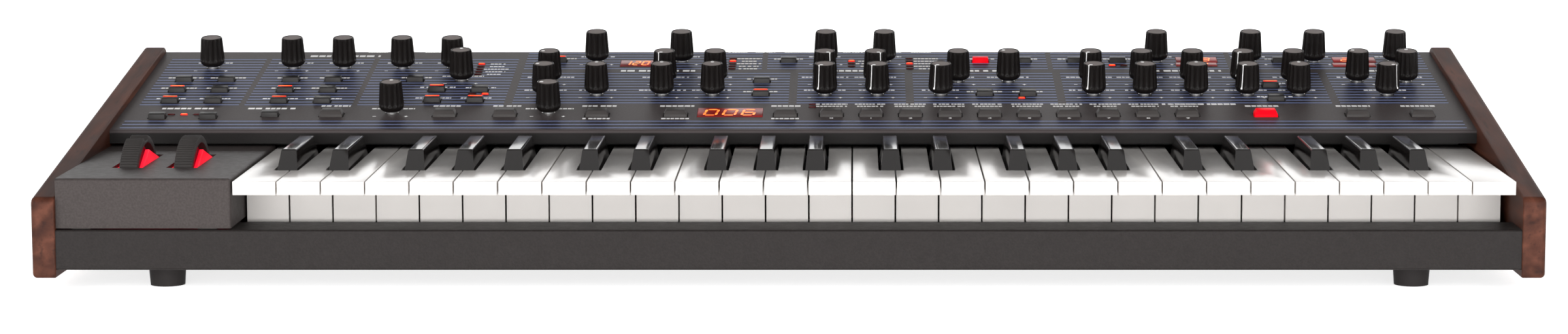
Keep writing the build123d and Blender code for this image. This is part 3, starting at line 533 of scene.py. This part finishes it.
def circle(radius, height, count):
    steps = [2 * math.pi * i / count for i in range(count)]
    return [(radius * math.cos(a), radius * math.sin(a), height) for a in steps]


def turned(shape, profile, place=LEVEL, count=40, material=0, caps=True):
    """Adds a solid of revolution about the place's Z: (radius, height) from below to above."""
    return ringed(shape, [circle(r, h, count) for r, h in profile], place, material, caps)


# ---- printed lines and marks ----
knob_places = {}
for name, joint in JOINTS.items():
    if name.endswith("_knob_turn"):
        local = PANEL.inverted() @ Vector(joint["pos_m"])
        low, high = joint["range_deg"]
        knob_places[joint["child"]] = (local.x / MM, local.y / MM, -(low + high) / 2)
other_knobs = []
for low, high in members("rear_knobs", PANEL):
    other_knobs.append(((low.x + high.x) / 2 / MM, (low.y + high.y) / 2 / MM))
other_knobs.sort(key=lambda place: (round(place[1] / 12), place[0]))
all_knobs = [(u, v) for u, v, _ in knob_places.values()] + other_knobs


def middles(node, place=PANEL):
    return [
        ((a.x + b.x) / 2 / MM, (a.y + b.y) / 2 / MM, (b.x - a.x) / MM, (b.y - a.y) / MM)
        for a, b in members(node, place)
    ]


BUTTONS = ("small_buttons", "lit_buttons", "number_buttons", "wide_buttons")
SMALL, LIT, NUMBER, WIDE = (middles(node) for node in BUTTONS)
WINDOWS = middles("display_windows")
small_cap, wide_cap = (10.0, 6.0), (13.7, 8.6)
lamp_boxes = [m for m in middles("indicator_leds") if m[2] < 7.0]
cut_outs = [(u, v, small_cap[0] + 1.4, small_cap[1] + 1.4) for u, v, _, _ in SMALL + LIT]
cut_outs += [(u, v, wide_cap[0] + 1.4, wide_cap[1] + 1.4) for u, v, _, _ in NUMBER + WIDE]
cut_outs += [(u, v, 5.0, 2.8) for u, v, _, _ in lamp_boxes]
cut_outs += [(u, v, w + 0.8, d + 0.8) for u, v, w, d in WINDOWS]
cut_outs += [(u, v, 8.2, 8.2) for u, v in all_knobs]
LINE_WIDE = 1.15
INK_HIGH = 0.03


def free_spans(left, right, v, half):
    """The stretches of a line that no opening of the panel interrupts."""
    stops = sorted(
        (u - w / 2, u + w / 2)
        for u, at, w, d in cut_outs
        if abs(at - v) < d / 2 + half and left < u < right
    )
    spans, start = [], left
    for a, b in stops:
        if a > start:
            spans.append((start, a))
        start = max(start, b)
    return spans + [(start, right)]


lines = bmesh.new()
groups = [(LEFT_LINES, LEFT_SPANS), (MAIN_LINES, MAIN_SPANS)]
groups += [(UPPER_LINES, UPPER_SPANS), (FOOT_LINES, [FOOT_SPAN])]
for rows, spans in groups:
    for v in rows:
        for left, right in spans:
            for a, b in free_spans(left, right, v, LINE_WIDE / 2):
                if b - a > 0.5:
                    slab(lines, oblong((a + b) / 2, v, b - a, LINE_WIDE), 0.0, INK_HIGH, PANEL)
show("printed_lines", lines, line_blue, "case")

legends = bmesh.new()
LEGEND_HIGH = 0.06


def legend(u, v, width, tall=1.7, shape=legends, place=PANEL):
    """A row of small blocks that stands for a word."""
    at = u - width / 2
    while at < u + width / 2 - 0.5:
        block = marks.uniform(0.7, 1.3) * tall
        block = min(block, u + width / 2 - at)
        slab(shape, oblong(at + block / 2, v, block, tall), 0.0, LEGEND_HIGH, place)
        gap = 0.22 * tall if marks.random() < 0.85 else 0.7 * tall
        at += block + gap


def tick(u, v, width=1.6, depth=0.5):
    slab(legends, oblong(u, v, width, depth), 0.0, LEGEND_HIGH, PANEL)


REAR_ROW = 120  # knobs beyond this are in the rear row
for u, v in all_knobs:
    if v < REAR_ROW:
        legend(u, v + 8.6, marks.choice((22.0, 25.0, 28.0)), 2.2)
    else:
        legend(u, v + 10.5, 21.0, 2.2)
    tick(u - 9.2, v - 8.0, 2.0)
    tick(u + 9.2, v - 8.0, 2.0)
    tick(u + 9.2, v - 8.0, 0.6, 2.4)
for u, v, _, _ in SMALL + LIT:
    if v > 50:
        legend(u, v + 6.2, marks.choice((18.0, 21.0)), 2.1)
    else:
        legend(u + 1.0, v + 8.0, 4.0, 1.4)
for u, v, _, _ in NUMBER:
    legend(u, 55.6, 18.5, 1.8)
    legend(u, 51.0, marks.choice((14.0, 16.0, 18.0)), 1.8)
for u, v, _, _ in WIDE:
    legend(u, 51.5, marks.choice((17.0, 20.0)), 2.6)
    if -150 < u < 20:
        legend(u, v - 7.6, 16.0, 2.2)
for u in (-353.6, -303.5):
    legend(u, 46.0, 30.0, 3.0)
TITLES = [(-278.0, 166.0, 43), (-84.0, 131.2, 45), (32.0, 131.2, 20)]
TITLES += [(115.0, 131.2, 24), (237.0, 131.2, 40), (349.0, 131.2, 14)]
for u, v, w in TITLES:
    legend(u, v, w, 3.6)
legend(237.0, 55.6, 44.0, 2.6)
for u in (-259.0, -224.0, -37.0, -20.0, -2.0, 9.0, 34.0, 59.0, 76.0):
    legend(u, 175.0, 12.0, 1.3)
for u, v, _, _ in lamp_boxes:
    if v > 115 and u < 100:
        legend(u + 10.0, v, marks.choice((9.0, 12.0, 15.0)), 1.9)
show("legend_marks", legends, line_white, "case")


def digit_mesh(text, size, wide):
    """One printed numeral as a mesh, flat on Z = 0, in metres."""
    curve = bpy.data.curves.new("numeral_" + text, "FONT")
    curve.body, curve.size = text, size * MM
    curve.align_x, curve.align_y = "CENTER", "CENTER"
    curve.extrude = 0.02 * MM
    holder = bpy.data.objects.new("numeral_" + text, curve)
    mesh = bpy.data.meshes.new_from_object(holder)
    bpy.data.objects.remove(holder)
    shape = bmesh.new()
    shape.from_mesh(mesh)
    bmesh.ops.scale(shape, vec=(wide, 1, 1), verts=shape.verts)
    return shape


for count, (u, v, _, _) in enumerate(NUMBER):
    numeral = digit_mesh(str(count), 3.3, 1.5)
    spot = PANEL @ Matrix.Translation(Vector((u * MM, (v - 6.6) * MM, INK_HIGH * MM)))
    bmesh.ops.transform(numeral, matrix=spot, verts=numeral.verts)
    show(f"numeral_{count}", numeral, line_white, "case")

# ---- rear panel fittings ----
REAR = Matrix.Translation((0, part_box("rear_panel")[1].y, 0)) @ Matrix(
    ((-1, 0, 0, 0), (0, 0, 1, 0), (0, 1, 0, 0), (0, 0, 0, 1))
)
JACKS = sorted({(round(u), round(v)) for u, v, _, _ in middles("audio_jacks", REAR)})
SOCKETS = sorted((u, v) for u, v, wide, _ in middles("data_sockets", REAR) if wide > 13.0)
SOCKET_FLOOR = -7.4
PINS, PIN_RING = 5, 4.5
LEGEND_RISE = 14.0
washers, shells, rear_marks = bmesh.new(), bmesh.new(), bmesh.new()
WASHER = [(3.6, 0.0), (8.2, 0.0), (8.2, 0.28), (7.95, 0.42), (3.6, 0.42), (3.6, 0.0)]
SHELL = [(6.3, SOCKET_FLOOR), (6.72, SOCKET_FLOOR), (6.72, 0.2), (6.3, 0.2), (6.3, SOCKET_FLOOR)]
for u, v in JACKS:
    at = REAR @ Matrix.Translation((u * MM, v * MM, 0))
    turned(washers, WASHER, at, 40, caps=False)
    legend(u, v + LEGEND_RISE, marks.choice((10.0, 14.0, 18.0)), 2.0, rear_marks, REAR)
for u, v in SOCKETS:
    at = REAR @ Matrix.Translation((u * MM, v * MM, 0))
    turned(shells, SHELL, at, 40, caps=False)
    for i in range(PINS):
        angle = math.pi * i / (PINS - 1)
        pin = at @ Matrix.Translation((PIN_RING * math.cos(angle) * MM, PIN_RING * math.sin(angle) * MM, 0))
        contact = [(1.15, 0.0), (1.15, 0.12), (1.05, 0.18)]
        turned(shells, [(r, SOCKET_FLOOR + h) for r, h in contact], pin, 16, 1)
        turned(shells, [(r, SOCKET_FLOOR + h) for r, h in [(0.8, 0.1), (0.8, 0.22)]], pin, 16, 2)
    legend(u, v + LEGEND_RISE, 16.0, 2.0, rear_marks, REAR)
for shape in (washers, shells):
    bmesh.ops.remove_doubles(shape, verts=shape.verts, dist=1e-6)
show("jack_washers", washers, bright_nickel, "case")
show("socket_shells", shells, [bright_nickel, gold_pin, plain_black], "case")
show("rear_marks", rear_marks, line_white, "case")

# ---- knobs ----
FLUTES = 16
KNOB_PROFILE = [  # height, radius, share of the flutes' depth
    (1.2, 4.2, 0.0), (1.5, 5.0, 0.0), (2.1, 6.0, 0.0), (2.9, 6.75, 0.0), (3.7, 7.15, 0.0), (4.5, 7.3, 0.06),
    (5.1, 7.27, 0.4), (5.6, 7.24, 0.8), (6.3, 7.2, 1.0), (10.0, 6.94, 1.0), (14.0, 6.66, 1.0),
    (17.4, 6.44, 0.95), (18.2, 6.34, 0.75), (18.65, 6.15, 0.4), (18.85, 5.95, 0.15), (18.9, 5.7, 0.0), (18.85, 5.5, 0.0),
    (18.6, 5.38, 0.0), (18.45, 5.3, 0.0),
]
DISC_PROFILE = [(18.45, 5.3, 0), (18.68, 5.22, 0), (18.76, 5.0, 0), (18.74, 3.6, 0), (18.68, 1.8, 0)]
FLUTE_DEPTH = 0.62
STEPS = 12


def knob_radius(radius, share, angle):
    part = (angle * FLUTES / (2 * math.pi)) % 1.0
    return radius - FLUTE_DEPTH * share * (1 - (2 * part - 1) ** 2)


def knob_mesh(name, pointer):
    shape = bmesh.new()
    count = FLUTES * STEPS
    start = -0.5 / FLUTES * 2 * math.pi + math.pi / 2

    def row(height, radius, share):
        ring = []
        for i in range(count):
            turn = 2 * math.pi * i / count
            r = knob_radius(radius, share, turn)
            ring.append((r * math.cos(turn + start), r * math.sin(turn + start), height))
        return ring

    rings = ringed(shape, [row(*line) for line in KNOB_PROFILE], caps=False)
    shape.faces.new(rings[0][::-1])
    disc = ringed(shape, [row(*line) for line in DISC_PROFILE], material=1, caps=False)
    shape.faces.new(disc[-1]).material_index = 1
    if pointer:
        spine = [line for line in KNOB_PROFILE if 4.3 < line[0] and line[1] > 5.6]
        middle = math.pi / 2
        for (h0, r0, s0), (h1, r1, s1) in zip(spine, spine[1:]):
            corners = []
            for h, r, s in ((h0, r0, s0), (h1, r1, s1)):
                reach = r - FLUTE_DEPTH * s + 0.05
                half = 0.55 / reach
                for side in (-1, 1):
                    edge = middle + side * half
                    corners.append(Vector((reach * math.cos(edge), reach * math.sin(edge), h)))
            inner = [c - Vector((0, 0.12, 0)) for c in corners]
            a, b, c, d = (shape.verts.new(p * MM) for p in corners)
            e, f, g, k = (shape.verts.new(p * MM) for p in inner)
            sides = ((a, b, d, c), (e, g, k, f), (a, c, g, e), (b, f, k, d), (a, e, f, b), (c, d, k, g))
            for face in sides:
                shape.faces.new(face).material_index = 2
        dot = Matrix.Translation(Vector((0, 3.6 * MM, 18.70 * MM)))
        turned(shape, [(1.1, 0.0), (1.1, 0.07), (1.0, 0.1), (0.5, 0.11)], dot, 24, 2)
    mesh = bpy.data.meshes.new(name)
    bmesh.ops.recalc_face_normals(shape, faces=shape.faces)
    shape.to_mesh(mesh)
    shape.free()
    for finish in (knob_black, knob_disc, line_white):
        mesh.materials.append(finish)
    smooth(mesh, 40.0)
    return mesh


plain_knob, pointed_knob = knob_mesh("plain_knob", False), knob_mesh("pointed_knob", True)


def knob_place(u, v, turn):
    spot = PANEL @ Matrix.Translation(Vector((u * MM, v * MM, 0)))
    return spot @ Matrix.Rotation(-math.radians(turn), 4, "Z")


for body, (u, v, rest) in knob_places.items():
    show(body + "_cap", pointed_knob, None, body, [body], knob_place(u, v, rest))
POINTERS = {  # (u, v): degrees clockwise from the rear
    (-142.7, 37.0): -90, (-147.7, 107.5): -90, (-78.6, 107.5): -145, (17.3, 107.5): 150, (47.5, 107.5): 150,
    (127.2, 107.5): -60, (176.4, 107.5): -150, (267.3, 107.5): -145, (336.2, 107.5): -60, (365.4, 107.5): 0,
    (-200.7, 110.0): 0,
}
for count, (u, v) in enumerate(other_knobs):
    turn = next((angle for (pu, pv), angle in POINTERS.items() if math.hypot(u - pu, v - pv) < 4), None)
    mesh = plain_knob if turn is None else pointed_knob
    if turn is None:
        turn = marks.uniform(0, 36)
    stands_for = ["rear_knobs"] if count == 0 else ()
    name = f"rear_knob_{count + 1:02d}"
    show(name, mesh, None, "case", stands_for, knob_place(u, v, turn))

COLLAR = [(3.7, 0.02), (3.7, 0.2), (3.55, 0.3), (3.4, 0.34), (3.4, 1.2), (3.3, 1.5), (3.1, 1.7)]
collars = bmesh.new()
for u, v in all_knobs:
    at = PANEL @ Matrix.Translation(Vector((u * MM, v * MM, 0)))
    turned(collars, COLLAR, at, 36)
    turned(collars, [(3.0, 1.7), (3.0, 5.0)], at, 20)
show("shaft_collars", collars, bright_nickel, "case", ["potentiometer_nuts"])

# ---- buttons ----
def small_button(shape, u, v, material=0):
    slab(shape, oblong(u, v, 10.0, 6.0), -1.2, 2.8, PANEL, (0.94, 0.86), 0.35, 3, material)


def wide_button(shape, u, v, material=0):
    slab(shape, oblong(u, v, 13.5, 8.4), -1.2, 1.5, PANEL, (0.985, 0.985), 0.25, 2, material)
    slab(shape, oblong(u, v, 13.1, 8.1), 1.4, 3.6, PANEL, (0.83, 0.74), 0.3, 3, material)


def near(places, u, v):
    return any(math.hypot(u - pu, v - pv) < 4 for pu, pv in places)


RED_SMALL, RED_WIDE = (112.0, 153.0), (273.2, 32.0)
caps = bmesh.new()
for u, v, _, _ in SMALL:
    small_button(caps, u, v)
show("small_caps", caps, button_black, "small_buttons", ["small_buttons"])
caps, strips = bmesh.new(), bmesh.new()
for u, v, _, _ in LIT:
    if near([RED_SMALL], u, v):
        red = bmesh.new()
        small_button(red, u, v)
        show("record_cap", red, cap_red_painted_glow, "lit_buttons")
        continue
    small_button(caps, u, v)
    slab(strips, oblong(u, v + 1.35, 8.4, 2.0), 2.3, 3.0, PANEL, (0.97, 0.85), 0.3, 3)
    slab(strips, oblong(u, v + 1.35, 6.8, 0.9), 2.6, 3.06, PANEL, (0.95, 0.8), 0.12, 2, 1)
show("lit_caps", caps, button_black, "lit_buttons", ["lit_buttons"])
show("cap_lights", strips, [lamp_red, lamp_core], "lit_buttons")
caps = bmesh.new()
for u, v, _, _ in NUMBER:
    wide_button(caps, u, v)
show("number_caps", caps, wide_black, "number_buttons", ["number_buttons"])
caps = bmesh.new()
for u, v, _, _ in WIDE:
    if near([RED_WIDE], u, v):
        red = bmesh.new()
        wide_button(red, u, v)
        show("write_cap", red, cap_red_painted_glow, "wide_buttons")
    else:
        wide_button(caps, u, v)
show("wide_caps", caps, wide_black, "wide_buttons", ["wide_buttons"])

# ---- lamps and displays ----
LIT_LAMPS = [(-353.6, 33.6), (-192.4, 147.0), (-183.6, 78.0), (-39.4, 154.0)]
LIT_LAMPS += [(33.2, 154.0), (68.6, 148.0), (133.6, 69.0), (192.0, 144.0)]
bright, dim = bmesh.new(), bmesh.new()
for u, v, _, _ in lamp_boxes:
    close = any(abs(u - a) < 2.2 and abs(v - b) < 3.05 for a, b in LIT_LAMPS)
    lit = close and near(LIT_LAMPS, u, v)
    slab(bright if lit else dim, oblong(u, v, 3.9, 1.9), -0.8, 0.6, PANEL, (0.94, 0.85), 0.3, 3)
    if lit:
        slab(bright, oblong(u, v, 2.9, 1.0), 0.4, 0.68, PANEL, (0.9, 0.8), 0.12, 2, 1)
show("lit_lamps", bright, [lamp_red, lamp_core], "case", ["indicator_leds"])
show("dim_lamps", dim, lamp_dim, "case")

SEGMENTS = {  # bar: middle in half widths and quarter heights, and whether it stands upright
    "a": (0, 2, False), "g": (0, 0, False), "d": (0, -2, False),
    "f": (-1, 1, True), "b": (1, 1, True), "e": (-1, -1, True), "c": (1, -1, True),
}
FIGURES = {"0": "abcdef", "1": "bc", "2": "abged", "3": "abgcd", "5": "afgcd", "6": "afgedc", "8": "abcdefg"}


def figure(shape, digit, u, v, wide, tall, high):
    for bar in FIGURES[digit]:
        x, y, upright = SEGMENTS[bar]
        cx, cy = x * wide / 2, y * tall / 4
        long, thin = (tall / 4 * 0.86, tall * 0.055) if upright else (wide / 2 * 0.80, tall * 0.055)
        outline = [(-long, 0), (-long + thin, -thin), (long - thin, -thin)]
        outline += [(long, 0), (long - thin, thin), (-long + thin, thin)]
        if upright:
            outline = [(-b, a) for a, b in outline]
        lean = [(u + cx + a + 0.14 * (cy + b), v + cy + b) for a, b in outline]
        slab(shape, lean, high - 0.1, high + 0.04, PANEL)


figures = bmesh.new()
SHOWN = ("120", "006", "32", "58", "16", "25")
for (u, v, w, d), digits in zip(sorted(WINDOWS, key=lambda m: (m[0], m[1])), SHOWN):
    tall = d * 0.62
    wide = min(tall * 0.58, w / len(digits) * 0.55)
    pitch = w * 0.86 / len(digits)
    for i, digit in enumerate(digits):
        figure(figures, digit, u + (i - (len(digits) - 1) / 2) * pitch, v, wide, tall, 0.3)
show("display_figures", figures, segment_hot, "case")
windows = bmesh.new()
for u, v, w, d in WINDOWS:
    slab(windows, oblong(u, v, w, d), -1.5, 0.25, PANEL, 0.995, 0.2, 2)
show("display_lenses", windows, window_red, "case", ["display_windows"])

# ---- keys ----
SEAM_DROP, SEAM_SHORT = 2.9, 1.6  # below the key's top, and narrower than the key
for node, item in NODES.items():
    if node.startswith("keys_"):
        sharp = node.endswith("_sharp")
        finish, slot = (key_ebony, "key_black") if sharp else (key_ivory, "key_white")
        shape = soften(node, 1.5 if sharp else 0.75, 5 if sharp else 3)
        show(node + "_tops", shape, finish, node, [node])
        if not sharp:
            seams = bmesh.new()
            for low, high in members(node):
                level = (high.z - SEAM_DROP * MM) / MM
                middle, wide = (low.x + high.x) / 2 / MM, (high.x - low.x) / MM - SEAM_SHORT
                slab(seams, oblong(middle, low.y / MM, wide, 0.05), level - 0.1, level + 0.1)
            show(node + "_seams", seams, seam_grey, node)

# ---- wheels ----
WHEEL_RADIUS = 34.9
RIB_HIGH, RIB_PITCH = 0.28, 3.0
DIP_RADIUS, DIP_OUT, DIP_TURN = 8.0, 5.4, math.radians(1.6)  # the thumb's dip in the tread
HUB_RADIUS, BORE = 7.0, 3.05


def wheel(name, front_reach, rear_reach, scoop):
    """A ribbed wheel: a tread, a rim on its right side, a web and a hub."""
    joint = JOINTS[name + "_turn"]
    low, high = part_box(name)
    centre = Vector(joint["pos_m"])
    at = Matrix.Translation(centre)
    radius = WHEEL_RADIUS if scoop else (high.z - centre.z) / MM
    half = (high.x - low.x) / 2 / MM
    rim = [(-half, 0.9), (-half + 0.25, 0.3), (-half + 0.9, 0.0)]  # across, and below the tread
    rim += [(half - 0.9, 0.0), (half - 0.25, 0.3), (half, 0.9), (half, 4.0)]
    rim += [(half - 1.0, 4.2), (-half + 1.0, 4.2), (-half, 4.0)]
    shape = bmesh.new()
    rows = []
    steps = int((front_reach + rear_reach) * 4)
    far = radius + DIP_OUT
    for i in range(steps + 1):
        degrees = -front_reach + (front_reach + rear_reach) * i / steps
        angle = math.radians(degrees)
        rib = RIB_HIGH * (0.5 + 0.5 * math.cos(math.radians(degrees) * 360 / RIB_PITCH)) ** 0.6
        r = radius - RIB_HIGH + rib
        if scoop:
            side = far * math.sin(angle + DIP_TURN)
            if abs(side) < DIP_RADIUS:
                dip = far * math.cos(angle + DIP_TURN) - math.sqrt(DIP_RADIUS**2 - side**2)
                r = min(r, dip)
        ring = []
        for x, inset in rim:
            reach = r - inset if inset < 2 else radius - inset
            ring.append((x, reach * math.sin(angle), reach * math.cos(angle)))
        rows.append(ring)
    ringed(shape, rows, at)
    left, right, inner, outer = -half + 0.6, 0.8, 3.2, radius - 3.9
    section = ((left, inner), (left, outer), (right, outer), (right, inner))
    web = []
    for i in range(49):
        angle = math.radians(-front_reach + (front_reach + rear_reach) * i / 48)
        web.append([(x, r * math.sin(angle), r * math.cos(angle)) for x, r in section])
    # The web carries the dim red painted glow.
    ringed(shape, web, at, 1)
    hub = at @ Matrix.Rotation(math.radians(90), 4, "Y")
    profile = [(BORE, -half), (HUB_RADIUS, -half), (HUB_RADIUS, half - 0.5), (6.6, half), (BORE, half)]
    turned(shape, profile, hub, 40, 0)
    show(name + "_tread", shape, [tread_rubber, wheel_web_painted_glow], name, [name])


wheel("pitch_wheel", 88.0, 88.0, True)
wheel("mod_wheel", 118.0, 58.0, False)
# The tents in the wheel wells glow with painted red light.
show("wheel_glow_tents", soften("wheel_wells", 0.35), wheel_tent_painted_glow, "case", ["wheel_wells"])

# ---- carried-over parts and their finishes ----
CARRIED = [
    # painted shade: the darker copy of the case coat
    (shaded_bar_coat, "bottom_pan"),
    (case_coat, "rear_panel wheel_box"),
    (panel_paint, "control_panel"),
    (walnut, "left_cheek"),
    (walnut_other, "right_cheek"),
    (plain_black, "wheel_bracket keybed_frame tact_switches power_inlet power_rocker"),
    (brushed_steel, "key_hinge_rod potentiometers foot_screws"),
    (strip_rubber, "key_contact_strip"),
    (red_felt, "key_felts"),
    # painted shade: the near-black board in the shaded gap
    (board_black_painted_shade, "panel_board"),
    (circuit_green, "circuit_boards power_supply"),
    (socket_black, "audio_jacks data_sockets"),
    (black_zinc, "case_screws"),
    (foot_rubber, "rubber_feet"),
]
for finish, nodes in CARRIED:
    for node in nodes.split():
        mesh = NODES[node].data
        mesh.materials.clear()
        mesh.materials.append(finish)

# ---- floor, light and camera ----
FLOOR_GLOW, AIR_GLOW = 0.75, 0.24
LOOK_AT = (0, 0, 0.05)


def backdrop():
    """A pale round floor that curves up into a wall far away on every side."""
    floor = bmesh.new()
    flat, bend, top, count = 12.0, 3.0, 7.0, 48
    profile = [(6.0, 0.0), (flat, 0.0)]
    for degrees in range(10, 91, 10):
        a = math.radians(degrees)
        profile.append((flat + bend * math.sin(a), bend - bend * math.cos(a)))
    profile.append((flat + bend, top))
    rows = [[floor.verts.new(p) for p in circle(r, z, count)] for r, z in profile]
    floor.faces.new(rows[0])
    for inner, outer in zip(rows, rows[1:]):
        for i in range(count):
            j = (i + 1) % count
            floor.faces.new((inner[i], outer[i], outer[j], inner[j]))
    mesh = bpy.data.meshes.new("studio_floor")
    floor.to_mesh(mesh)
    floor.free()
    f = Finish("studio_white")
    pale = f.tint((0.93, 0.93, 0.93), 0.01, 2.0)
    rough = 0.6 + 0.05 * f.noise(3.0)
    mesh.materials.append(f.done(pale, rough, Emission_Color=(1, 1, 1), Emission_Strength=FLOOR_GLOW))
    smooth(mesh)
    made = bpy.data.objects.new("studio_floor", mesh)
    bpy.context.scene.collection.objects.link(made)


def softbox(name, place, aim, width, height, power):
    lamp = bpy.data.lights.new(name, "AREA")
    lamp.shape, lamp.size, lamp.size_y, lamp.energy = "RECTANGLE", width, height, power
    made = bpy.data.objects.new(name, lamp)
    made.location = place
    made.rotation_euler = (Vector(aim) - Vector(place)).to_track_quat("-Z", "Y").to_euler()
    bpy.context.scene.collection.objects.link(made)


backdrop()
softbox("overhead", (0, -0.9, 1.7), (0, 0, 0), 2.2, 0.8, 3.4)
softbox("low_front", (0, -3.3, 0.24), LOOK_AT, 3.6, 0.4, 78)
softbox("left_front", (-2.1, -1.8, 1.15), LOOK_AT, 0.35, 1.3, 22)
softbox("right_front", (2.1, -1.8, 1.15), LOOK_AT, 0.35, 1.3, 17)
softbox("rear_fill", (0.2, 3.0, 1.15), LOOK_AT, 3.0, 0.6, 7)
world = bpy.data.worlds.new("studio_air")
world.use_nodes = True
air = world.node_tree.nodes["Background"]
air.inputs[0].default_value, air.inputs[1].default_value = (1, 1, 1, 1), AIR_GLOW
bpy.context.scene.world = world
bpy.context.scene.view_settings.view_transform = "Standard"

lens_data = bpy.data.cameras.new("camera")
lens_data.lens, lens_data.sensor_width, lens_data.shift_x = 82.26, 36.0, -0.04475
camera = bpy.data.objects.new("camera", lens_data)
camera.location = (0.0348, -2.0475, 0.3041)
camera.rotation_euler = (math.radians(82.811), 0, 0)
bpy.context.scene.collection.objects.link(camera)
bpy.context.scene.camera = camera
